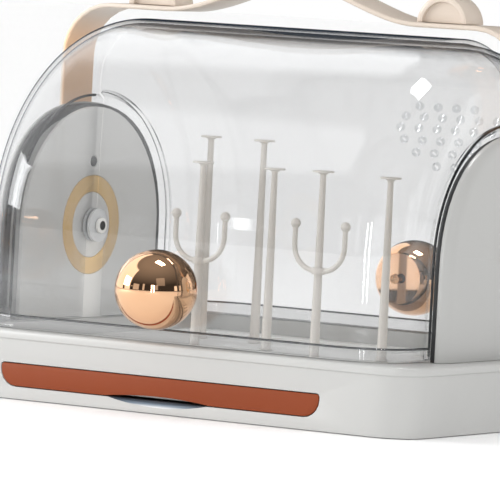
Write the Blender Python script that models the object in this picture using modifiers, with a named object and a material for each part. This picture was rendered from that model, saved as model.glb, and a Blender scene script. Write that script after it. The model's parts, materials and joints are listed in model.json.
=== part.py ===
"""Baby bottle drying rack with a clear double cover, a carry handle and a drip drawer.

A low tray base carries a slotted drain plate with upright pegs. Two arched end walls stand on the
base and hold the pivots. A front and a rear cover, both clear, turn about the line through the
pivots. A bent carry strap is screwed to the end walls. A shallow drip drawer slides out at the front.

Metres, +Z up, +X to the right, and -Y is the front. The origin is at the middle of the footprint.
"""

import math

import bmesh
import bpy
from mathutils import Matrix, Vector

# Clearances and cutting
SEAT_GAP = 0.0003
RUN_GAP = 0.0006
OVERRUN = 0.002
MERGE_DISTANCE = 0.000005

# Base housing
BASE_LENGTH = 0.384
BASE_DEPTH = 0.313
BASE_TOP = 0.046
BASE_CORNER = 0.028
BASE_TAPER = 0.003
BASE_WALL = 0.003
RIM_HEIGHT = 0.006
RIM_PROUD = 0.0015
RIM_ROUND = 0.0015
FOOT_HEIGHT = 0.0015
FOOT_RADIUS = 0.009
FOOT_INSET = 0.030
HOUSING_BOTTOM = 0.0005
RECESS_END_INSET = 0.035
RECESS_SIDE_INSET = 0.0215
RECESS_CORNER = 0.020
LEDGE_WIDTH = 0.004
BOTTOM_THICKNESS = 0.0025

# Drain plate
PLATE_THICKNESS = 0.003
PLATE_DROP = 0.0105
SLOT_WIDTH = 0.005
SLOT_LENGTH = 0.038
SLOT_PITCH = 0.0185
SLOT_ROW_INSET = 0.040
SLOT_END_MARGIN = 0.0225

# Pegs
PEG_TOP_RADIUS = 0.0020
PEG_FOOT_RADIUS = 0.0034
PEG_DISC_RADIUS = 0.00725
PEG_DISC_THICKNESS = 0.0012
PEG_CONE_HEIGHT = 0.0015
PEG_COLLAR_RADIUS = 0.0044
PEG_COLLAR_HEIGHT = 0.002
PEG_ROOT_RADIUS = 0.0026
PEG_ROOT_DEPTH = 0.006
FRONT_PEG_HEIGHT = 0.1260
MIDDLE_PEG_HEIGHT = 0.1230
REAR_PEG_HEIGHT = 0.1395
FRONT_PEG_X = 0.0474
FRONT_PEG_Y = -0.040
MIDDLE_PEG_Y = 0.003
REAR_PEG_Y = 0.045
MIDDLE_LEFT_PEG_X = -0.018
MIDDLE_RIGHT_PEG_X = 0.0736
REAR_LEFT_PEG_X = -0.0976
REAR_RIGHT_PEG_X = -0.0543

# Teat hooks on the two front pegs
HOOK_HALF_WIDTH = 0.0195
HOOK_WIRE_RADIUS = 0.0018
HOOK_BEND = 0.0165
HOOK_BALL_RADIUS = 0.0034
HOOK_BALL_DROP = 0.0360
HOOK_LOW_DROP = 0.0665
HOOK_COLLAR_RADIUS = 0.0045
HOOK_COLLAR_HEIGHT = 0.0042

# Line through the pivots, and the arched end walls
AXIS_HEIGHT = 0.110
PANEL_INSET = 0.0290
PANEL_THICKNESS = 0.0030
PANEL_MARGIN = 0.0070
NECK_STEP = 0.0010
NECK_DEPTH = 0.0027
NECK_FLARE = 0.0075
SEAL_DEPTH = 0.0037
SEAL_HEIGHT = 0.0075
SEAL_INSET = 0.0010
END_ARCH_DROP = 0.0070
END_ARCH_GROW = 0.0140
END_ARCH_RISE_GROW = 0.0100
END_ARCH_POWER = 2.3
END_SHELL_INSET = 0.0130
END_SHELL_LIP = 0.0008
END_SHELL_ROUND = 0.0120
END_SHELL_SQUASH_SHARE = 0.45
PANEL_SCREW_RISE = 0.0435
PANEL_SCREW_BORE = 0.0042
PANEL_SCREW_SEAT = 0.0015
PANEL_SCREW_DEPTH = 0.0100
RING_OUTER_RADIUS = 0.0340
RING_INNER_RADIUS = 0.0226
RING_THICKNESS = 0.0010
RING_PROUD = 0.0003

# Clear covers, whose side webs step inwards to plates that reach the pivots
COVER_INSET = 0.0130
COVER_WALL = 0.0030
COVER_SHOULDER = 0.0420
WEB_CROWN = 0.0135
WEB_STEP = 0.0030
REAR_WEB_GROW = 0.0030
FRONT_SEAM_ANGLE = 91.5
REAR_SEAM_ANGLE = 88.5
FLANGE_HEIGHT = 0.0091
FLANGE_PROUD = 0.0018
FLANGE_BACK = 0.0004
FLANGE_SEAT = 0.0010
HUB_RADIUS = 0.0100
EYE_RADIUS = 0.0115
EYE_THICKNESS = 0.0024
PIVOT_RADIUS = 0.0040
PIVOT_HEAD_RADIUS = 0.0055
PIVOT_HEAD_THICKNESS = 0.0022

# Vent holes in the rear cover
VENT_RADIUS = 0.0028
VENT_ROW_COUNTS = (4, 6, 7, 7, 6, 4)
VENT_PITCH_X = 0.0145
VENT_PITCH_ARC = 0.0100
VENT_CENTRE_X = 0.055
VENT_LOW_ANGLE = 22.0

# Ball knobs
KNOB_RADIUS = 0.0262
KNOB_LENGTH = 0.0290
KNOB_CENTRE_OUT = 0.0180
KNOB_DROP = 0.0280
KNOB_BORE_DEPTH = 0.012
SCREW_RADIUS = 0.0018
SCREW_HEAD_RADIUS = 0.0036
SCREW_HEAD_THICKNESS = 0.0012

# Carry handle
HANDLE_WIDTH = 0.036
HANDLE_THICKNESS = 0.0032
HANDLE_GAP = 0.0061
HANDLE_BEND = 0.0360
HANDLE_HUMP = 0.023
HANDLE_HUMP_HALF = 0.100
HANDLE_SCREW_HEAD_RADIUS = 0.0075
HANDLE_SCREW_RADIUS = 0.0030
HANDLE_SCREW_DEPTH = 0.0080
EAR_INSET = 0.0663
EAR_DROP = 0.0010
EAR_RADIUS = 0.0193
EAR_THICKNESS = 0.0220
EAR_DISH_RADIUS = 0.0153
EAR_DISH_DEPTH = 0.0030

# Drip drawer
DRAWER_FRONT_LENGTH = 0.248
DRAWER_FRONT_TOP = 0.0241
DRAWER_FRONT_BOTTOM = 0.0093
DRAWER_FRONT_THICKNESS = 0.0030
DRAWER_LOW_CORNER = 0.0115
DRAWER_HIGH_CORNER = 0.0015
TRAY_END_GAP = 0.007
TRAY_BACK_GAP = 0.0465
TRAY_WALL = 0.0018
TRAY_TOP = 0.0235
TRAY_BOTTOM = 0.0105
TRAY_CORNER = 0.010
RUNNER_X = 0.090
RUNNER_WIDTH = 0.0040
RUNNER_INSET = 0.012
SCOOP_HALF_LENGTH = 0.0410
SCOOP_RISE = 0.0025
SCOOP_FALL = 0.0048

# Steps of round shapes
CORNER_STEPS = 5
ARCH_STEPS = 28
TURN_STEPS = 16
RING_STEPS = 36
SWEEP_STEP_ANGLE = 4.5
SHOULDER_STEPS = 7
BORE_ANGLES = (0, 330, 11)
EYE_ANGLES = (7.5, 352.5, 23)

# Places that follow from the sizes above
RECESS_LENGTH = BASE_LENGTH - 2 * RECESS_END_INSET
RECESS_DEPTH = BASE_DEPTH - 2 * RECESS_SIDE_INSET
PLATE_TOP = BASE_TOP - PLATE_DROP
LEDGE_TOP = PLATE_TOP - PLATE_THICKNESS - SEAT_GAP
SLOT_ROW_OFFSET = RECESS_DEPTH / 2 - SLOT_ROW_INSET
SLOTS_PER_ROW = 1 + 2 * int((RECESS_LENGTH / 2 - SLOT_END_MARGIN) / SLOT_PITCH)
FRONT_PEG_TOP = PLATE_TOP + FRONT_PEG_HEIGHT
MIDDLE_PEG_TOP = PLATE_TOP + MIDDLE_PEG_HEIGHT
REAR_PEG_TOP = PLATE_TOP + REAR_PEG_HEIGHT
HOOK_BALL_HEIGHT = FRONT_PEG_TOP - HOOK_BALL_DROP
HOOK_LOW_HEIGHT = FRONT_PEG_TOP - HOOK_LOW_DROP
COVER_RADIUS = BASE_DEPTH / 2 - COVER_INSET
FRONT_WEB_RADIUS = COVER_RADIUS - COVER_SHOULDER - WEB_CROWN
REAR_WEB_RADIUS = FRONT_WEB_RADIUS + REAR_WEB_GROW
PANEL_RADIUS = FRONT_WEB_RADIUS - PANEL_MARGIN
NECK_RADIUS = PANEL_RADIUS - NECK_STEP
PANEL_FACE_X = BASE_LENGTH / 2 - PANEL_INSET
PANEL_BACK_X = PANEL_FACE_X + PANEL_THICKNESS
NECK_X = PANEL_BACK_X + SEAT_GAP
SEAL_X = NECK_X + NECK_DEPTH
END_SHELL_X = SEAL_X + SEAL_DEPTH
END_SHELL_FACE_X = BASE_LENGTH / 2 - END_SHELL_INSET
END_ARCH_CENTRE = AXIS_HEIGHT - END_ARCH_DROP
END_ARCH_HALF = PANEL_RADIUS + END_ARCH_GROW
END_ARCH_RISE = PANEL_RADIUS + END_ARCH_RISE_GROW
COVER_END_X = PANEL_FACE_X + COVER_WALL
REAR_RADIUS = COVER_RADIUS - COVER_WALL - RUN_GAP
REAR_SHOULDER = COVER_SHOULDER - COVER_WALL - RUN_GAP
REAR_END_X = COVER_END_X - COVER_WALL - RUN_GAP
FRONT_PLATE_X = PANEL_FACE_X - RUN_GAP
REAR_PLATE_X = FRONT_PLATE_X - COVER_WALL - RUN_GAP
PIVOT_HEAD_X = REAR_PLATE_X - COVER_WALL - SEAT_GAP
COVER_BOTTOM = BASE_TOP + SEAT_GAP
BOTTOM_TOP = FOOT_HEIGHT + BOTTOM_THICKNESS
DRAWER_FACE_Y = -(BASE_DEPTH / 2 - (BASE_TAPER + RIM_PROUD) / 2)
TRAY_FRONT_Y = DRAWER_FACE_Y + DRAWER_FRONT_THICKNESS + SEAT_GAP
TRAY_LENGTH = DRAWER_FRONT_LENGTH - 2 * TRAY_END_GAP
TRAY_BACK_Y = BASE_DEPTH / 2 - TRAY_BACK_GAP
KNOB_CENTRE_Y = COVER_RADIUS + KNOB_CENTRE_OUT
KNOB_HEIGHT = AXIS_HEIGHT - KNOB_DROP
HANDLE_ARM_X = END_SHELL_FACE_X + SEAT_GAP + HANDLE_THICKNESS / 2
HANDLE_TOP = AXIS_HEIGHT + COVER_RADIUS + HANDLE_GAP + HANDLE_THICKNESS
EAR_X = HANDLE_ARM_X - EAR_INSET
EAR_HEIGHT = HANDLE_TOP - EAR_DROP

WHITE = ("white_plastic", (0.80, 0.79, 0.775, 1.0), 0.35, 0.0)
CLEAR = ("clear_plastic", (0.90, 0.92, 0.93, 0.30), 0.05, 0.0)
GREY = ("peg_grey", (0.52, 0.50, 0.47, 1.0), 0.40, 0.0)
SEAL = ("seal_rubber", (0.05, 0.05, 0.05, 1.0), 0.60, 0.0)
GOLD = ("rose_gold", (0.85, 0.52, 0.34, 1.0), 0.12, 1.0)
BEIGE = ("beige_plastic", (0.82, 0.67, 0.57, 1.0), 0.38, 0.0)
RUST = ("drawer_rust", (0.33, 0.08, 0.03, 1.0), 0.45, 0.0)
STEEL = ("screw_steel", (0.35, 0.35, 0.36, 1.0), 0.30, 1.0)
RUBBER = ("foot_rubber", (0.35, 0.35, 0.35, 1.0), 0.70, 0.0)


def clear_scene():
    """Removes whatever the file held before."""
    for old in list(bpy.data.objects):
        bpy.data.objects.remove(old, do_unlink=True)


def make_collection(name):
    """A collection linked to the scene."""
    found = bpy.data.collections.new(name)
    bpy.context.scene.collection.children.link(found)
    return found


def material_of(finish):
    """A Principled material for a finish, made once."""
    name, colour, roughness, metallic = finish
    found = bpy.data.materials.get(name)
    if found is None:
        found = bpy.data.materials.new(name)
        found.use_nodes = True
        shader = found.node_tree.nodes["Principled BSDF"]
        shader.inputs["Base Color"].default_value = colour
        shader.inputs["Roughness"].default_value = roughness
        shader.inputs["Metallic"].default_value = metallic
        shader.inputs["Alpha"].default_value = colour[3]
    return found


def object_from(name, bm, finish=None, collection=None):
    """Turns a bmesh into an object; with no finish it is a cutter."""
    mesh = bpy.data.meshes.new(name)
    bmesh.ops.recalc_face_normals(bm, faces=bm.faces)
    bm.to_mesh(mesh)
    bm.free()
    made = bpy.data.objects.new(name, mesh)
    place(made, finish, collection)
    return made


def place(made, finish, collection=None):
    """Puts an object in its collection and gives it its finish."""
    if finish is None:
        CUTTERS.objects.link(made)
        made.hide_render = True
        made.display_type = "WIRE"
        return
    (collection or RACK).objects.link(made)
    made.data.materials.append(material_of(finish))


def smooth(made, angle=35.0):
    """Shades a round piece smooth and keeps its edges sharp."""
    made.data.shade_smooth()
    made.data.set_sharp_from_angle(angle=math.radians(angle))
    return made


def cut(target, cutter):
    """Cuts one mesh out of another."""
    modifier = target.modifiers.new("cut", "BOOLEAN")
    modifier.operation = "DIFFERENCE"
    modifier.object = cutter
    return target


def fuse(target, added):
    """Joins a mesh to another as one moulding."""
    modifier = target.modifiers.new("fuse", "BOOLEAN")
    modifier.operation = "UNION"
    modifier.object = added
    return target


def arc_points(centre_u, centre_v, radius, start, end, steps):
    """Points on an arc in a plane, by angle in degrees."""
    points = []
    for step in range(steps + 1):
        angle = math.radians(start + (end - start) * step / steps)
        points.append((centre_u + radius * math.cos(angle), centre_v + radius * math.sin(angle)))
    return points


def rounded_rectangle(half_u, half_v, radius, centre_v=0.0, steps=CORNER_STEPS):
    """Outline of a rounded rectangle, anticlockwise."""
    points = []
    for side_u, side_v, start in ((1, 1, 0), (-1, 1, 90), (-1, -1, 180), (1, -1, 270)):
        middle_u = side_u * (half_u - radius)
        middle_v = centre_v + side_v * (half_v - radius)
        points += arc_points(middle_u, middle_v, radius, start, start + 90, steps)
    return points


def arch(radius, floor=COVER_BOTTOM):
    """Outline of an end panel in Y and Z: a half circle on straight sides that stand on the base."""
    points = arc_points(0.0, AXIS_HEIGHT, radius, 0, 180, ARCH_STEPS)
    return [(radius, floor)] + points + [(-radius, floor)]


def broad_arch(inset, floor=COVER_BOTTOM):
    """Outline of an end wall's rim in Y and Z: a squarer and broader arch, set in from its edge."""
    points = []
    for step in range(ARCH_STEPS + 1):
        angle = math.pi * step / ARCH_STEPS
        across = math.copysign(abs(math.cos(angle)) ** (2 / END_ARCH_POWER), math.cos(angle))
        up = abs(math.sin(angle)) ** (2 / END_ARCH_POWER)
        points.append(((END_ARCH_HALF - inset) * across, END_ARCH_CENTRE + (END_ARCH_RISE - inset) * up))
    return [(points[0][0], floor)] + points + [(points[-1][0], floor)]


def loft(name, rings, finish, closed=False, collection=None):
    """Bridges rings of equal count. The ends are capped unless the last ring meets the first."""
    bm = bmesh.new()
    rows = [[bm.verts.new(point) for point in ring] for ring in rings]
    count = len(rows[0])
    pairs = list(zip(rows, rows[1:]))
    if closed:
        pairs.append((rows[-1], rows[0]))
    for low, high in pairs:
        for index in range(count):
            after = (index + 1) % count
            bm.faces.new((low[index], low[after], high[after], high[index]))
    if not closed:
        bm.faces.new(reversed(rows[0]))
        bm.faces.new(rows[-1])
    return object_from(name, bm, finish, collection)


def turned(name, profile, finish, axis, centre, steps=TURN_STEPS):
    """A turned piece: a profile of (radius, along) about an axis through centre, by a Screw modifier.

    The profile is run down its outer side, so that its faces look outwards.
    """
    mesh = bpy.data.meshes.new(name)
    after = profile[1:] + profile[:1]
    if sum(r * v - u * along for (r, along), (u, v) in zip(profile, after)) > 0:
        profile = profile[::-1]
    points = [(radius, 0.0, along) for radius, along in profile]
    mesh.from_pydata(points, [(i, i + 1) for i in range(len(points) - 1)], [])
    made = bpy.data.objects.new(name, mesh)
    screw = made.modifiers.new("turn", "SCREW")
    screw.steps = steps
    screw.render_steps = steps
    screw.use_merge_vertices = True
    screw.merge_threshold = MERGE_DISTANCE
    screw.use_smooth_shade = True
    turn = {"Z": Matrix.Identity(4), "X": Matrix.Rotation(math.radians(90), 4, "Y"),
            "-X": Matrix.Rotation(math.radians(-90), 4, "Y"),
            "Y": Matrix.Rotation(math.radians(-90), 4, "X"),
            "-Y": Matrix.Rotation(math.radians(90), 4, "X")}[axis]
    made.matrix_world = Matrix.Translation(centre) @ turn
    place(made, finish)
    return made


def frozen(made, finish, collection=None):
    """Replaces an object by a plain closed mesh of what its curve or modifiers make."""
    bpy.context.view_layer.update()
    graph = bpy.context.evaluated_depsgraph_get()
    mesh = bpy.data.meshes.new_from_object(made.evaluated_get(graph))
    name, world = made.name, made.matrix_world.copy()
    bpy.data.objects.remove(made, do_unlink=True)
    bm = bmesh.new()
    bm.from_mesh(mesh)
    bmesh.ops.remove_doubles(bm, verts=bm.verts, dist=MERGE_DISTANCE)
    bmesh.ops.transform(bm, matrix=world, verts=bm.verts)
    bpy.data.meshes.remove(mesh)
    return object_from(name, bm, finish, collection)


def flat_piece(name, outlines, thickness, finish, turn=None, centre=(0, 0, 0)):
    """A flat piece from closed outlines, the inner ones being holes, centred on its own plane."""
    curve = bpy.data.curves.new(name, "CURVE")
    curve.dimensions = "2D"
    curve.fill_mode = "BOTH"
    curve.extrude = thickness / 2
    for outline in outlines:
        spline = curve.splines.new("POLY")
        spline.points.add(len(outline) - 1)
        for point, (u, v) in zip(spline.points, outline):
            point.co = (u, v, 0.0, 1.0)
        spline.use_cyclic_u = True
    made = bpy.data.objects.new(name, curve)
    RACK.objects.link(made)
    made.matrix_world = Matrix.Translation(centre) @ (turn or Matrix.Identity(4))
    return frozen(made, finish)


def wire(name, points, radius, finish):
    """A round wire through points, as a closed mesh."""
    curve = bpy.data.curves.new(name, "CURVE")
    curve.dimensions = "3D"
    curve.bevel_depth = radius
    curve.bevel_resolution = 2
    curve.use_fill_caps = True
    spline = curve.splines.new("POLY")
    spline.points.add(len(points) - 1)
    for point, co in zip(spline.points, points):
        point.co = (*co, 1.0)
    made = bpy.data.objects.new(name, curve)
    RACK.objects.link(made)
    return frozen(made, finish)


def box(name, low, high, finish=None):
    """A box from its corners."""
    bm = bmesh.new()
    bmesh.ops.create_cube(bm, size=1.0)
    low, high = Vector(low), Vector(high)
    bmesh.ops.scale(bm, vec=high - low, verts=bm.verts)
    bmesh.ops.translate(bm, vec=(low + high) / 2, verts=bm.verts)
    return object_from(name, bm, finish)


def rod(name, radius, start, end, finish=None, segments=TURN_STEPS):
    """A plain round rod between two points."""
    bm = bmesh.new()
    start, end = Vector(start), Vector(end)
    bmesh.ops.create_cone(bm, cap_ends=True, segments=segments, radius1=radius, radius2=radius,
                          depth=(end - start).length)
    turn = (end - start).to_track_quat("Z", "Y").to_matrix().to_4x4()
    bmesh.ops.transform(bm, matrix=Matrix.Translation((start + end) / 2) @ turn, verts=bm.verts)
    return object_from(name, bm, finish)


# Turns a flat outline in X and Y to stand in Y and Z, or in X and Z
STAND_YZ = Matrix(((0, 0, 1, 0), (1, 0, 0, 0), (0, 1, 0, 0), (0, 0, 0, 1)))
STAND_XZ = Matrix(((1, 0, 0, 0), (0, 0, -1, 0), (0, 1, 0, 0), (0, 0, 0, 1)))


def base_ring(inset, z, corner=None):
    """The outline of the base at a height, set in from its rim."""
    radius = (BASE_CORNER - inset) if corner is None else corner
    points = rounded_rectangle(BASE_LENGTH / 2 - inset, BASE_DEPTH / 2 - inset, radius)
    return [(x, y, z) for x, y in points]


def recess_ring(inset, z):
    """The outline of the recess at a height, set in from its edge."""
    points = rounded_rectangle(RECESS_LENGTH / 2 - inset, RECESS_DEPTH / 2 - inset,
                               RECESS_CORNER - inset)
    return [(x, y, z) for x, y in points]


def drawer_outline(grow):
    """The drawer front's outline in X and Z, with rounder lower corners."""
    half = DRAWER_FRONT_LENGTH / 2 + grow
    top, bottom = DRAWER_FRONT_TOP + grow, DRAWER_FRONT_BOTTOM - grow
    low, high = DRAWER_LOW_CORNER + grow, DRAWER_HIGH_CORNER + grow
    points = arc_points(half - high, top - high, high, 0, 90, CORNER_STEPS // 2)
    points += arc_points(-half + high, top - high, high, 90, 180, CORNER_STEPS // 2)
    points += arc_points(-half + low, bottom + low, low, 180, 270, CORNER_STEPS)
    points += arc_points(half - low, bottom + low, low, 270, 360, CORNER_STEPS)
    return points


def scoop_outline():
    """The finger scoop in X and Z: a lens that bites into the drawer front and the wall below it."""
    points = []
    for height, way in ((SCOOP_RISE, 1), (-SCOOP_FALL, -1)):
        for step in range(TURN_STEPS):
            share = way * (1 - 2 * step / TURN_STEPS)
            points.append((SCOOP_HALF_LENGTH * share, DRAWER_FRONT_BOTTOM + height * (1 - share ** 2)))
    return points


def ball(name, centre, size, finish=None, segments=TURN_STEPS):
    """A ball, or an egg shape when its three half sizes differ."""
    bm = bmesh.new()
    bmesh.ops.create_uvsphere(bm, u_segments=segments, v_segments=segments // 2, radius=1.0)
    bmesh.ops.scale(bm, vec=Vector(size), verts=bm.verts)
    bmesh.ops.translate(bm, vec=Vector(centre), verts=bm.verts)
    return object_from(name, bm, finish)


def make_base():
    """The base housing, open below, with a rim, a recess for the drain plate and the drawer's mouth."""
    deck_under = BASE_TOP - BASE_WALL
    ledge_under = LEDGE_TOP - BASE_WALL
    rings = [
        base_ring(BASE_TAPER, HOUSING_BOTTOM),
        base_ring(RIM_PROUD, BASE_TOP - RIM_HEIGHT),
        base_ring(0.0, BASE_TOP - RIM_HEIGHT + RIM_ROUND / 2),
        base_ring(0.0, BASE_TOP - RIM_ROUND),
        base_ring(RIM_ROUND / 3, BASE_TOP - RIM_ROUND / 3),
        base_ring(RIM_ROUND, BASE_TOP),
        recess_ring(0.0, BASE_TOP),
        recess_ring(0.0, LEDGE_TOP),
        recess_ring(LEDGE_WIDTH, LEDGE_TOP),
        recess_ring(LEDGE_WIDTH, ledge_under),
        recess_ring(-BASE_WALL, ledge_under),
        recess_ring(-BASE_WALL, deck_under),
        base_ring(BASE_WALL + RIM_PROUD, deck_under),
        base_ring(BASE_WALL + BASE_TAPER, HOUSING_BOTTOM),
    ]
    housing = loft("base_housing", rings, WHITE, closed=True)
    mouth = flat_piece("mouth_cutter", [drawer_outline(RUN_GAP)], BASE_WALL * 4, None,
                       STAND_XZ, (0, DRAWER_FACE_Y + BASE_WALL / 2, 0))
    cut(housing, mouth)
    cut(housing, SCOOP)
    smooth(housing)

    inset = BASE_WALL + BASE_TAPER + SEAT_GAP
    loft("base_bottom", [base_ring(inset, FOOT_HEIGHT), base_ring(inset, BOTTOM_TOP)], WHITE)
    for side_x, word_x in SIDES:
        for side_y, word_y in ((-1, "front"), (1, "rear")):
            centre = Vector((side_x * (BASE_LENGTH / 2 - FOOT_INSET),
                             side_y * (BASE_DEPTH / 2 - FOOT_INSET), 0.0))
            rise = Vector((0, 0, FOOT_HEIGHT - SEAT_GAP))
            rod(f"{word_x}_{word_y}_foot", FOOT_RADIUS, centre, centre + rise, RUBBER)
        low = Vector((side_x * RUNNER_X - RUNNER_WIDTH / 2, TRAY_FRONT_Y + RUNNER_INSET,
                      BOTTOM_TOP + SEAT_GAP))
        high = Vector((side_x * RUNNER_X + RUNNER_WIDTH / 2, TRAY_BACK_Y, TRAY_BOTTOM - SEAT_GAP))
        box(f"{word_x}_drawer_runner", low, high, WHITE)


def slot_outline(x, y):
    """A drain slot that runs front to back."""
    half, straight = SLOT_WIDTH / 2, SLOT_LENGTH / 2 - SLOT_WIDTH / 2
    steps = CORNER_STEPS // 2
    points = arc_points(x, y + straight, half, 0, 180, steps)
    return points + arc_points(x, y - straight, half, 180, 360, steps)


def make_drain_plate():
    """The slotted plate that the pegs plug into."""
    outlines = [[(x, y) for x, y, z in recess_ring(SEAT_GAP, PLATE_TOP)]]
    for name, x, y, top in PEGS:
        outlines.append(arc_points(x, y, PEG_ROOT_RADIUS + SEAT_GAP, *BORE_ANGLES))
    for index in range(SLOTS_PER_ROW):
        x = (index - (SLOTS_PER_ROW - 1) / 2) * SLOT_PITCH
        outlines.append(slot_outline(x, -SLOT_ROW_OFFSET))
        outlines.append(slot_outline(x, SLOT_ROW_OFFSET))
    flat_piece("drain_plate", outlines, PLATE_THICKNESS, WHITE, None,
               (0, 0, PLATE_TOP - PLATE_THICKNESS / 2))


def make_peg(name, x, y, top):
    """A turned peg: a disc on a slim taper, a collar that stands on the plate and a root below it."""
    foot = PLATE_TOP + SEAT_GAP
    disc_under = top - PEG_DISC_THICKNESS
    profile = [
        (0.0, top),
        (PEG_DISC_RADIUS, top),
        (PEG_DISC_RADIUS, disc_under),
        (PEG_TOP_RADIUS * 2, disc_under),
        (PEG_TOP_RADIUS, disc_under - PEG_CONE_HEIGHT),
        (PEG_FOOT_RADIUS, foot + PEG_COLLAR_HEIGHT),
        (PEG_COLLAR_RADIUS, foot + PEG_COLLAR_HEIGHT / 3),
        (PEG_COLLAR_RADIUS, foot),
        (PEG_ROOT_RADIUS, foot),
        (PEG_ROOT_RADIUS, foot - PEG_ROOT_DEPTH),
        (0.0, foot - PEG_ROOT_DEPTH),
    ]
    return turned(name, profile, GREY, "Z", (x, y, 0), TURN_STEPS)


def make_hook(name, x, y):
    """A double hook with ball ends, on a collar that slides over a peg."""
    low = HOOK_LOW_HEIGHT
    half, bend = HOOK_HALF_WIDTH, HOOK_BEND
    right = arc_points(half - bend, low + bend, bend, 270, 360, SHOULDER_STEPS)
    right.append((half, HOOK_BALL_HEIGHT))
    route = [(-u, v) for u, v in reversed(right)] + right
    hook = wire(name, [(x + u, y, v) for u, v in route], HOOK_WIRE_RADIUS, GREY)
    for side in (-1, 1):
        centre = (x + side * half, y, HOOK_BALL_HEIGHT)
        fuse(hook, ball(f"{name}_ball", centre, [HOOK_BALL_RADIUS] * 3))
    rise = Vector((0, 0, HOOK_COLLAR_HEIGHT / 2))
    middle = Vector((x, y, low))
    fuse(hook, rod(f"{name}_collar", HOOK_COLLAR_RADIUS, middle - rise, middle + rise))
    slope = (PEG_FOOT_RADIUS - PEG_TOP_RADIUS) / (FRONT_PEG_TOP - PLATE_TOP)
    bore = PEG_TOP_RADIUS + slope * (FRONT_PEG_TOP - low + HOOK_COLLAR_HEIGHT) + SEAT_GAP
    cut(hook, rod(f"{name}_bore", bore, middle - 2 * rise, middle + 2 * rise))
    return smooth(hook)


def in_plane(outline, x):
    """An outline in Y and Z, placed at one X."""
    return [(x, y, z) for y, z in outline]


def along_x(side, start, end, y=0.0, z=AXIS_HEIGHT):
    """Two points on a line along X, on one side of the middle."""
    return (side * start, y, z), (side * end, y, z)


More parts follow.
